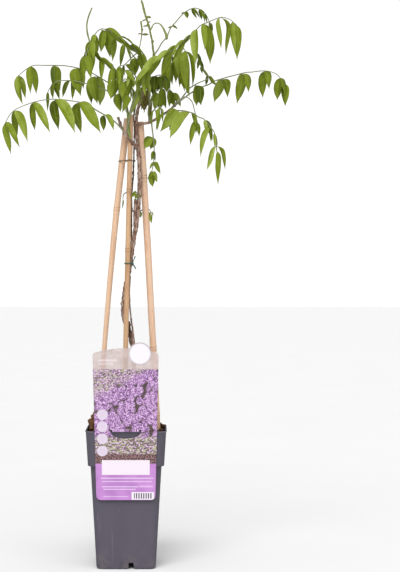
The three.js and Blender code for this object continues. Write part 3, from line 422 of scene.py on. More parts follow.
class Shape:
    """Collects vertices, faces, a material number per face and a tag vector per vertex."""

    TIP = 0.6  # length of a rod's round end over its radius
    PLAIN_TAG = (0.0, 0.0, 0.5)

    def __init__(self, tag):
        self.tag = tag
        self.verts, self.faces, self.kinds, self.tags = [], [], [], []

    def add(self, verts, faces, kind=0, tags=None):
        start = len(self.verts)
        self.verts += verts
        self.tags += tags or [self.PLAIN_TAG] * len(verts)
        self.faces += [tuple(start + i for i in face) for face in faces]
        self.kinds += [kind] * len(faces)

    def tube(self, path, radius, sides, steps, kind=0, rough=0.0, seed=0.0):
        """A closed rod with round ends; rough makes its skin uneven."""
        normal = path.tangent(0).orthogonal().normalized()
        verts = []
        for step in range(steps + 1):
            share = step / steps
            centre, ahead = path.at(share), path.tangent(share)
            normal = (normal - ahead * normal.dot(ahead)).normalized()
            other = ahead.cross(normal)
            for c, s in circle(sides):
                out = normal * c + other * s
                thick = radius(share)
                if rough:
                    thick *= 1 + rough * noise.noise((centre + out * thick) * 260 + Vector((seed, 0, 0)))
                verts.append(centre + out * thick)
        faces = ring_faces(steps + 1, sides)
        for share, ring, turn in ((0, 0, True), (1, steps * sides, False)):
            reach = radius(share) * (-self.TIP if turn else self.TIP)
            verts.append(path.at(share) + path.tangent(share) * reach)
            tip = len(verts) - 1
            for i in range(sides):
                j = (i + 1) % sides
                faces.append((ring + j, ring + i, tip) if turn else (ring + i, ring + j, tip))
        self.add(verts, faces, kind)

    def sheet(self, rows, tags, thickness):
        """A closed thin blade from a grid of points and its tag vectors."""
        high, wide = len(rows), len(rows[0])
        top = [p for row in rows for p in row]
        under = []
        for i in range(high):
            for j in range(wide):
                along = rows[min(i + 1, high - 1)][j] - rows[max(i - 1, 0)][j]
                across = rows[i][min(j + 1, wide - 1)] - rows[i][max(j - 1, 0)]
                under.append(rows[i][j] - across.cross(along).normalized() * thickness)
        n = high * wide
        faces = []
        for i in range(high - 1):
            for j in range(wide - 1):
                a, b = i * wide + j, (i + 1) * wide + j
                faces.append((a, a + 1, b + 1, b))
                faces.append((n + a, n + b, n + b + 1, n + a + 1))
        border = list(range(wide))
        border += [i * wide + wide - 1 for i in range(1, high)]
        border += [(high - 1) * wide + j for j in range(wide - 2, -1, -1)]
        border += [i * wide for i in range(high - 2, 0, -1)]
        for a, b in zip(border, border[1:] + border[:1]):
            faces.append((a, n + a, n + b, b))
        self.add(top + under, faces, tags=tags + tags)

    def lump(self, centre, size, turn, rounds, sides, rough, kind=0, seed=0.0):
        """An uneven closed blob, wide across and rough-skinned."""
        broad_lumps, fine_lumps, fine_share = 1.7, 4.3, 0.4
        verts = []
        for r in range(1, rounds):
            tilt = math.pi * r / rounds
            wide, high = math.sin(tilt), math.cos(tilt)
            verts += [Vector((wide * c, wide * s, high)) for c, s in circle(sides)]
        verts += [UP.copy(), -UP]
        faces = [(a, d, c, b) for a, b, c, d in ring_faces(rounds - 1, sides)]
        last = (rounds - 2) * sides
        for i in range(sides):
            j = (i + 1) % sides
            faces.append((len(verts) - 2, i, j))
            faces.append((len(verts) - 1, last + j, last + i))
        turn = Euler(turn).to_matrix()
        placed = []
        for ball in verts:
            bulge = 1 + rough * noise.noise(ball * broad_lumps + Vector((seed, seed * 0.37, 0)))
            bulge += fine_share * rough * noise.noise(ball * fine_lumps + Vector((0, seed, 3)))
            scaled = Vector((ball.x * size[0], ball.y * size[1], ball.z * size[2])) * (bulge / 2)
            placed.append(centre + turn @ scaled)
        self.add(placed, faces, kind)

    def build(self, name, materials, slot, *nodes):
        mesh = bpy.data.meshes.new(name)
        mesh.from_pydata(self.verts, [], self.faces)
        mesh.polygons.foreach_set("material_index", self.kinds)
        mesh.polygons.foreach_set("use_smooth", [True] * len(self.faces))
        tags = mesh.attributes.new(self.tag, "FLOAT_VECTOR", "POINT")
        tags.data.foreach_set("vector", [v for tag in self.tags for v in tag])
        for material in materials:
            mesh.materials.append(material)
        mesh.validate()
        mesh.update()
        piece = show(name, mesh)
        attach(piece, "root")
        if nodes:
            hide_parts(*nodes)
        return piece


def real_mesh(piece):
    """The mesh that a curve or an object with modifiers shows."""
    graph = bpy.context.evaluated_depsgraph_get()
    return bpy.data.meshes.new_from_object(piece.evaluated_get(graph))


# ---- pot -----------------------------------------------------------------------------------

POT_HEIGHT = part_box("pot")[1].z
SHOULDER = 168 * MM
FOOT_HALF, BODY_HALF = 48.1 * MM, 57.6 * MM
COLLAR_HALF, RIM_HALF = 61.8 * MM, 65.2 * MM
FOOT_CORNER, RIM_CORNER = 11 * MM, 15 * MM
WALL = 1.4 * MM
FLOOR_UNDER, FLOOR_TOP = 9.6 * MM, 11.2 * MM
SOFT_EDGE = 0.5 * MM
# Rows of height and inset, in mm: the foot from the pot's underside up, and the rim from below it
# over the lip to its inside.
FOOT_ROWS = [(9.6, 1.4), (3, 1.4), (0.3, 3.6), (0, 3.2), (0, 2.7), (0.5, 1.6), (2.5, 0.3), (4, 0)]
RIM_ROWS = [(-2.6, 0), (-2.1, -0.32), (-1.7, -0.8), (-0.4, -0.8), (0, -0.4), (0, 0.98), (-0.4, 1.4)]
# Outlines in mm, sideways and up: the drain notch, flared at the foot, and the sunk panel beside it
NOTCH = [(4, -1), (14.6, -1), (14.6, 0.4), (13, 3.2), (11.6, 11), (4.8, 11), (4, 10)]
PANEL = [(-9, -1), (3.2, -1), (3.2, 11.4), (-9, 11.4)]
NOTCH_DEPTH, PANEL_DEPTH, PANEL_OUT = 12 * MM, 1 * MM, 0.1 * MM
HOLE_RADIUS, HOLE_PLACE, HOLE_DEPTH = 4 * MM, 24 * MM, 6 * MM
BOSS_RADIUS = 3.6 * MM
ROUND_SIDES = 24


def pot_half(z):
    if z <= SHOULDER:
        return FOOT_HALF + (BODY_HALF - FOOT_HALF) * z / SHOULDER
    return COLLAR_HALF + (RIM_HALF - COLLAR_HALF) * (z - SHOULDER) / (POT_HEIGHT - SHOULDER)


def side_turn(side, size=4):
    """Turns what is made at the front to one of the pot's four sides."""
    return Matrix.Rotation(math.tau * side / 4, size, "Z")


def square_ring(half, corner, z, corner_steps=9, side_steps=8):
    """A rounded square, with points on its straight sides too."""
    ring = []
    for quarter in range(4):
        turn = side_turn(quarter, 3)
        middle = Vector((half - corner, half - corner, 0))
        for i in range(corner_steps + 1):
            angle = math.pi / 2 * i / corner_steps
            arm = Vector((math.cos(angle), math.sin(angle), 0)) * corner
            ring.append(turn @ (middle + arm) + UP * z)
        for i in range(1, side_steps):
            x = (half - corner) * (1 - 2 * i / side_steps)
            ring.append(turn @ Vector((x, half, 0)) + UP * z)
    return ring


def pot_ring(z, inset, half=None):
    corner = FOOT_CORNER + (RIM_CORNER - FOOT_CORNER) * z / POT_HEIGHT
    return square_ring((half or pot_half(z)) - inset, corner - inset, z)


def pot_rings():
    """The pot's skin from the underside up the outside, over the rim and down inside."""
    soft, top = SOFT_EDGE, POT_HEIGHT
    rings = [pot_ring(z * MM, inset * MM) for z, inset in FOOT_ROWS]
    rings += [pot_ring(SHOULDER * i / 9, 0) for i in range(1, 9)]
    rings += [pot_ring(SHOULDER - 1.6 * MM, 0), pot_ring(SHOULDER - soft, 0)]
    rings += [pot_ring(SHOULDER, soft, BODY_HALF + 2 * soft)]
    rings += [pot_ring(SHOULDER, 0, COLLAR_HALF - 2 * soft)]
    rings += [pot_ring(SHOULDER + 0.1 * MM, 0, COLLAR_HALF - soft)]
    rings += [pot_ring(SHOULDER + soft, 0, COLLAR_HALF)]
    rings += [pot_ring(SHOULDER + 2 * soft, 0)]
    rings += [pot_ring(SHOULDER + (top - SHOULDER) * i / 6, 0) for i in range(1, 6)]
    rings += [pot_ring(top + z * MM, inset * MM) for z, inset in RIM_ROWS]
    return rings + [pot_ring(z, WALL) for z in (SHOULDER + WALL + 1 * MM, SHOULDER - WALL, FLOOR_TOP)]


def make_pot(material):
    rings = pot_rings()
    count = len(rings[0])
    faces = ring_faces(len(rings), count) + [lid(0, count, turned=True), lid(len(rings) - 1, count)]
    shape = Shape("pot_place")
    shape.add([p for ring in rings for p in ring], faces)
    pot = shape.build("pot_shell", [material], "pot_plastic", "pot")
    tools = [make(side) for make in (notch_cutter, panel_cutter, hole_cutter) for side in range(4)]
    for tool in tools:
        modify(pot, "BOOLEAN", object=tool, operation="DIFFERENCE", solver="EXACT")
    tools.append(foot_boss())
    modify(pot, "BOOLEAN", object=tools[-1], operation="UNION", solver="EXACT")
    modify(pot, "BEVEL", width=SOFT_EDGE / 2, segments=2, angle_limit=math.radians(50))
    mesh = real_mesh(pot)
    pot.modifiers.clear()
    pot.data = mesh
    for tool in tools:
        bpy.data.objects.remove(tool)
    for face in mesh.polygons:
        face.use_smooth = True
    mesh.set_sharp_from_angle(angle=math.radians(40))


def modify(piece, kind, **settings):
    modifier = piece.modifiers.new(kind.lower(), kind)
    for key, value in settings.items():
        setattr(modifier, key, value)


def prism(outline, depth, placing):
    """A prism from an outline in its own XZ plane, depth along Y, then placed."""
    front = [Vector((x, -depth / 2, z)) for x, z in outline]
    back = [Vector((x, depth / 2, z)) for x, z in outline]
    n = len(outline)
    faces = [tuple(range(n)), tuple(range(2 * n - 1, n - 1, -1))]
    faces += [(i, n + i, n + (i + 1) % n, (i + 1) % n) for i in range(n)]
    mesh = bpy.data.meshes.new("prism")
    mesh.from_pydata([placing @ p for p in front + back], [], faces)
    mesh.update()
    return show("prism", mesh)


def notch_cutter(side):
    outline = [(x * MM, z * MM) for x, z in NOTCH]
    return prism(outline, NOTCH_DEPTH, side_turn(side) @ Matrix.Translation((0, -FOOT_HALF, 0)))


def panel_cutter(side):
    outline = [(x * MM, z * MM) for x, z in PANEL]
    lean = Matrix.Rotation(math.atan((BODY_HALF - FOOT_HALF) / SHOULDER), 4, "X")
    place = Matrix.Translation((0, -FOOT_HALF - PANEL_OUT, 0))
    return prism(outline, PANEL_DEPTH, side_turn(side) @ place @ lean)


def hole_cutter(side):
    """A drain hole in the raised floor."""
    outline = [(HOLE_RADIUS * c, HOLE_RADIUS * s) for c, s in circle(ROUND_SIDES)]
    place = Matrix.Translation((HOLE_PLACE, 0, FLOOR_UNDER)) @ Matrix.Rotation(math.pi / 2, 4, "X")
    return prism(outline, HOLE_DEPTH, side_turn(side) @ place)


def foot_boss():
    """The moulding peg under the middle of the floor."""
    outline = [(BOSS_RADIUS * c, BOSS_RADIUS * s) for c, s in circle(ROUND_SIDES)]
    height = FLOOR_UNDER + 0.5 * MM
    place = Matrix.Translation((0, 0, height / 2)) @ Matrix.Rotation(math.pi / 2, 4, "X")
    return prism(outline, height, place)


# ---- soil ----------------------------------------------------------------------------------

SOIL_TOP = 217 * MM
MOUND_PLACE, MOUND_HEIGHT, MOUND_REACH = Vector((-50, 30)) * MM, 17 * MM, 22 * MM
SOIL_GAP = WALL + 0.3 * MM
SOIL_RINGS = 22
CRUMBS = 620
CRUMB_EDGE = 6 * MM  # from the rim
CHIPS = 4


def soil_height(x, y):
    """Loose soil: lumpy, with a mound at the left, and low where it meets the wall."""
    mx, my = x / MM, y / MM
    lumps = math.sin(mx * 0.19 + 1.1) * math.cos(my * 0.23) + 0.6 * math.sin((mx + my) * 0.31)
    away = math.hypot(x - MOUND_PLACE.x, y - MOUND_PLACE.y) / MOUND_REACH
    crumb = noise.fractal(Vector((mx, my, 0)) * 0.16, 0.9, 2.1, 4) * 1.6 * MM
    return SOIL_TOP + 2.2 * MM * lumps + MOUND_HEIGHT * math.exp(-away * away) + crumb


def make_soil(material):
    """The bed: down inside the pot, and rings that close in over the lumpy top."""
    rim = pot_ring(SOIL_TOP, SOIL_GAP)
    count = len(rim)
    highest = POT_HEIGHT + 1 * MM
    heights = (FLOOR_TOP + 0.3 * MM, SHOULDER - WALL, SHOULDER + WALL + 1 * MM)
    rings = [pot_ring(z, SOIL_GAP) for z in heights]
    rings.append([Vector((p.x, p.y, min(soil_height(p.x, p.y), highest) - 2 * MM)) for p in rim])
    for r in range(1, SOIL_RINGS):
        share = 1 - r / SOIL_RINGS
        places = [(p.x * share, p.y * share) for p in rim]
        rings.append([Vector((x, y, soil_height(x, y))) for x, y in places])
    verts = [p for ring in rings for p in ring] + [Vector((0, 0, soil_height(0, 0)))]
    faces = ring_faces(len(rings), count)
    last = (len(rings) - 1) * count
    faces += [(last + i, last + (i + 1) % count, len(verts) - 1) for i in range(count)]
    faces.append(lid(0, count, turned=True))
    shape = Shape("soil_place")
    shape.add(verts, faces)
    shape.build("potting_soil_bed", [material], "soil", "potting_soil")


def make_crumbs(materials):
    """Loose crumbs and bark bits lying over the soil, more of them on the mound."""
    draw = random.Random(11)
    shape = Shape("soil_place")
    limit = RIM_HALF - CRUMB_EDGE
    for i in range(CRUMBS):
        if i % 3 == 0:
            x = MOUND_PLACE.x + draw.gauss(0, 8 * MM)
            y = MOUND_PLACE.y + draw.gauss(0, 20 * MM)
        else:
            x, y = (draw.uniform(-limit, limit) for _ in range(2))
        x, y = (max(-limit, min(limit, v)) for v in (x, y))
        big = draw.random() ** 3
        size = (2.2 + 6 * big) * MM
        flat = draw.uniform(0.35, 0.9)
        height = soil_height(x, y) + size * flat * 0.25
        if big < 0.2:
            turn = [draw.uniform(0, math.tau) for _ in range(3)]
        else:
            turn = [draw.gauss(0, 0.4), draw.gauss(0, 0.4), draw.uniform(0, math.tau)]
        scale = (size * draw.uniform(0.9, 1.6), size * draw.uniform(0.6, 1.1), size * flat)
        kind = 1 if draw.random() < 0.22 else 0
        shape.lump(Vector((x, y, height)), scale, turn, 5, 7, 0.7, kind, seed=i * 1.7)
    shape.build("soil_crumbs", materials, "soil")


def make_chips(material):
    """Each bark chip: a flaky slab that fills its CAD node's box."""
    for i in range(1, CHIPS + 1):
        low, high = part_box(f"bark_chip_{i}")
        shape = Shape("soil_place")
        turn = (0.15 * i, -0.2, 0.5 * i)
        shape.lump((low + high) / 2, (high - low) * 1.04, turn, 14, 20, 0.55, seed=i * 7.3)
        shape.build(f"bark_chip_{i}_slab", [material], "bark_chips", f"bark_chip_{i}")


# ---- canes ---------------------------------------------------------------------------------

# name, top, foot, radius at the top and at the foot, bow to +X half way, heights of the joints
CANES = [
    ("cane_left", (1.2, 4, 736), (-49.6, 24, 160), 5.8, 3, -5.6, (80, 190, 430)),
    ("cane_middle", (7, -8, 741), (-5.3, -33, 150), 4.1, 4.1, 0, (60, 190, 369, 467)),
    ("cane_right", (22.5, 6.5, 731), (53, 21, 172), 5.7, 5.3, 1, (75, 185, 470)),
]
# body, warm patches, pale grain and scars of each cane
CANE_TINTS = [
    ((218, 182, 150), (204, 162, 130), (238, 212, 184), (178, 134, 100)),
    ((192, 154, 116), (174, 132, 96), (216, 184, 148), (112, 74, 46)),
    ((218, 182, 152), (206, 164, 134), (238, 214, 190), (140, 98, 70)),
]
CANE_BORE = 1.6
CANE_BORE_DEPTH = 5
CANE_SIDES = 28
CANE_PIECE = 12  # longest stretch between two rings
# A joint, with two thin scars: height from its middle, extra radius, scar share
JOINT_ROWS = [
    (-16, 0, 0), (-7, 0.1, 0.05), (-4, 0.35, 0.1), (-3.3, 0.55, 1), (-2.6, 0.3, 0.1),
    (0.5, 0.35, 0.1), (1.2, 0.62, 1), (1.9, 0.4, 0.15), (6, 0.12, 0.05), (14, 0, 0),
]


def cane_outline(thick, joints, length):
    """(radius, height, scar share) up a cane, over its cut top and down into its bore."""
    rows = [(thick(0), 0, 0)]
    for up in joints:
        rows += [(thick(up / length) + extra, up + shift, scar) for shift, extra, scar in JOINT_ROWS]
    tip = thick(1)
    rows += [(tip, length - 12, 0), (tip, length - 0.5, 0.15), (tip - 0.4, length, 0.4)]
    rows += [(CANE_BORE + 0.3, length, 0.5), (CANE_BORE, length - 0.4, 0.9)]
    rows += [(CANE_BORE, length - CANE_BORE_DEPTH, 1)]
    filled = []
    for low, high in zip(rows, rows[1:]):
        parts = max(1, int((high[1] - low[1]) / CANE_PIECE))
        filled += [tuple(p + (q - p) * i / parts for p, q in zip(low, high)) for i in range(parts)]
    return filled + [rows[-1]]


def cane_bow(bow, share):
    return Vector((4 * bow * share * (1 - share), 0, 0))


def make_cane(name, top, foot, top_radius, foot_radius, bow, joints, material):
    top, foot = Vector(top) * MM, Vector(foot) * MM
    length = (top - foot).length
    turn = UP.rotation_difference(top - foot)
    verts, tags = [], []
    rows = cane_outline(stops([foot_radius, top_radius]), joints, length / MM)
    for r, h, scar in rows:
        seeds = (Vector((h * 0.006, foot.x * 60, 0)), Vector((h * 0.006, 9, foot.x * 60)))
        wander = Vector((*(noise.noise(seed) for seed in seeds), 0)) * 0.35
        aside = cane_bow(bow, h * MM / length) * MM
        for i, (c, s) in enumerate(circle(CANE_SIDES)):
            out = Vector((c, s, 0))
            uneven = 1 + 0.025 * noise.noise(out * 0.8 + Vector((0, 0, h * 0.02)) + foot * 90)
            verts.append(foot + aside + turn @ ((out * r * uneven + UP * h + wander) * MM))
            tags.append((i / CANE_SIDES, h * MM, scar))
    faces = ring_faces(len(rows), CANE_SIDES)
    faces += [lid(0, CANE_SIDES, turned=True), lid(len(rows) - 1, CANE_SIDES)]
    shape = Shape("cane_place")
    shape.add(verts, faces, tags=tags)
    shape.build(name + "_culm", [material], "bamboo", name)


def cane_at(name, z):
    """Centre of a cane's axis at a height in metres."""
    top, foot, bow = next((cane[1], cane[2], cane[5]) for cane in CANES if cane[0] == name)
    top, foot = Vector(top) * MM, Vector(foot) * MM
    share = (z - foot.z) / (top.z - foot.z)
    return foot.lerp(top, share) + cane_bow(bow, share) * MM


# ---- stems ---------------------------------------------------------------------------------

# name, route, radii spread evenly from foot to tip, share of unevenness, material, slot
STEMS = [
    ("main_stem", [
        (10, -4, 190), (10, -2, 240), (11, 0, 290), (12, 1, 340), (9.5, 2, 366), (5, 4, 383),
        (-2.5, 5, 399), (-5.6, 4.5, 413), (-5.8, 3.5, 427), (-4.6, 2, 440), (0, -4, 466),
        (6, -11, 494), (9, -10, 520), (14, -7, 548), (18, -5, 577), (20.2, -4, 605), (21.3, -4, 633),
        (21, -4, 656), (19, -2, 680), (17, 0, 703), (16, 0, 733), (20, 3, 756), (27, 3, 779),
        (35, 0, 803), (42, -2, 820), (45, -4, 838), (43.5, -5, 850), (42.2, -7, 862),
        (39.8, -8, 873), (36.3, -8, 889), (31, -8, 905), (26.6, -8, 922), (24.6, -8, 929)],
     (4.2, 4, 3.8, 3.6, 3.7, 3.7, 3.4, 2.9, 2.3, 1.6, 1.7), 0.3, "bark", "bark"),
    ("climbing_shoot", [
        (3, 14, 200), (8, 12, 280), (13, 10, 345), (10.8, 9, 379), (7.4, 9, 403), (5.2, 8, 426),
        (4.4, 6, 449), (6, 2, 476)],
     (1.9, 1.7, 1.6, 1.4, 1.3), 0.2, "grey_bark", "bark"),
    ("twining_stem", [
        (9, -10, 518), (8, -3, 548), (7.8, -2, 584), (8.3, -2, 611), (10.8, 0, 640), (12, 3, 680),
        (12.5, 5, 713), (12, 8, 742), (12, 11, 768)],
     (1.5, 1.5, 1.4, 1.2, 0.9), 0.45, "dark_bark", "bark"),
    ("stub_low", [(7.8, 1, 364), (5.6, 0, 378), (4.2, -1, 390), (3.6, -1.5, 400)],
     (3, 3, 2.6, 2.3), 0.3, "dark_bark", "bark"),
    ("stub_high", [(14.2, -6.5, 556), (13.4, -8, 572), (13.9, -8, 588), (14.4, -7, 602)],
     (2.1, 2.3, 2.3, 1.9), 0.3, "bark", "bark"),
    ("branch_left", [
        (17, -2, 685), (12, -13, 692), (6, -18, 699), (0, -19, 706), (-5, -17, 714),
        (-10, -14, 725), (-14, -12, 736)],
     (2.6, 2.3, 2.1, 2.3), 0.3, "bark", "bark"),
    ("branch_right", [
        (16, 0, 727), (22, -6, 726), (30, -7, 727), (39, -4, 729), (50, -2, 736), (63, -2, 744),
        (88, -5, 763)],
     (2.4, 2.1, 1.8, 1.3), 0.3, "bark", "bark"),
    ("shoot_left", [
        (6, -18, 699), (4, -21, 715), (3, -21, 729), (1, -19, 752), (-4, -14, 774), (-12, -10, 794),
        (-19, -8, 811), (-30, -6, 822), (-47, -6, 837), (-57, -8, 851), (-61.5, -8, 864),
        (-64.5, -8, 876), (-65.5, -8, 888), (-63, -8, 901), (-57, -8, 917)],
     (2, 1.9, 1.8, 1.7, 1.5, 1.3, 1.3, 1.1), 0.15, "green", "green_bark"),
    ("shoot_right", [
        (39, -4, 729), (36, 3, 747), (41, 9, 770), (50, 11, 790), (60, 8, 809), (68, 4, 825)],
     (1.6, 1.5, 1.3, 0.9), 0.15, "green", "green_bark"),
    ("shoot_upright", [
        (35, 0, 803), (27, 8, 829), (21, 13, 849), (24, 15, 871), (25, 16, 884), (23.5, 16, 899)],
     (1, 0.9, 0.8, 0.9, 1.7), 0.15, "green", "green_bark"),
    ("shoot_hooked", [
        (38, -8, 876), (43.5, -11, 888), (48.5, -13, 891), (54.5, -16, 889), (59, -18, 884),
        (62.5, -20, 877), (65.5, -22, 869), (66, -23, 863)],
     (1, 0.9, 1, 1.9, 2.1), 0.15, "green", "green_bark"),
]
# Buds and furled leaf tips: stem, height, length, lean in degrees to +X, radius
BUDS = [
    ("main_stem", 902, 9, 84, 2),
    ("main_stem", 899, 9, -64, 1.3),
    ("main_stem", 888, 10, -82, 1.5),
    ("main_stem", 892, 5, 100, 1),
    ("shoot_upright", 877, 12, 88, 2),
    ("shoot_upright", 878, 7, -88, 1.2),
]

SCAR_SPACE, SCAR_LENGTH, SCAR_SWELL = 26 * MM, 2.6 * MM, 0.16
STEM_SIDES, STEM_STEP = 14, 1.6 * MM
BUD_FROM, BUD_TO = 0.08, 0.97  # shares of a stem between which it has small buds
SMALLEST_BUD, LARGEST_BUD = 0.25 * MM, 1.3 * MM
BUD_TURN = 2.4  # radians from one bud to the next
SEARCH = 400  # steps in which a bud's height is looked for along its stem


def make_stem(name, route, radii, uneven, material, slot, seed):
    """A stem with leaf-scar swellings, a small bud on each, and its buds from BUDS."""
    path = Path(points(route))
    draw = random.Random(seed)
    thick = stops(radii, MM)
    spaces = max(3, int(path.length / SCAR_SPACE))
    swell = [(i + draw.uniform(0.25, 0.75)) / spaces for i in range(spaces)]

    def radius(share):
        near = min(abs(share - s) for s in swell) * path.length / SCAR_LENGTH
        return thick(share) * (1 + SCAR_SWELL * math.exp(-near * near))

    shape = Shape("leaf_place")
    shape.tube(path, radius, STEM_SIDES, max(24, int(path.length / STEM_STEP)), rough=uneven, seed=seed)
    for i, share in enumerate(swell):
        if share < BUD_FROM or share > BUD_TO:
            continue
        ahead = path.tangent(share)
        out = (Quaternion(ahead, BUD_TURN * i) @ ahead.orthogonal()).normalized()
        size = min(thick(share) * draw.uniform(0.7, 1.15), LARGEST_BUD) + SMALLEST_BUD
        spot = path.at(share) + out * thick(share) * 0.95
        bud = Path([spot, spot + (out * 0.6 + ahead) * size, spot + (out * 0.75 + ahead * 2.3) * size])
        shape.tube(bud, stops((0.5, 0.62, 0.12), size), 8, 6)
    for stem, height, length, lean, thickest in BUDS:
        if stem == name:
            shares = (i / SEARCH for i in range(SEARCH + 1))
            near = min(shares, key=lambda i: abs(path.at(i).z - height * MM))
            tilt = math.radians(lean)
            out = Vector((math.sin(tilt), -0.2, -math.cos(tilt))) * length * MM
            spot = path.at(near)
            bud = Path([spot, spot + out * 0.5 + UP * 0.5 * MM, spot + out])
            shape.tube(bud, stops((0.5, thickest, thickest, 0.2), MM), 10, 14, rough=0.2, seed=height)
    shape.build(name + "_bark", [material], slot, name)
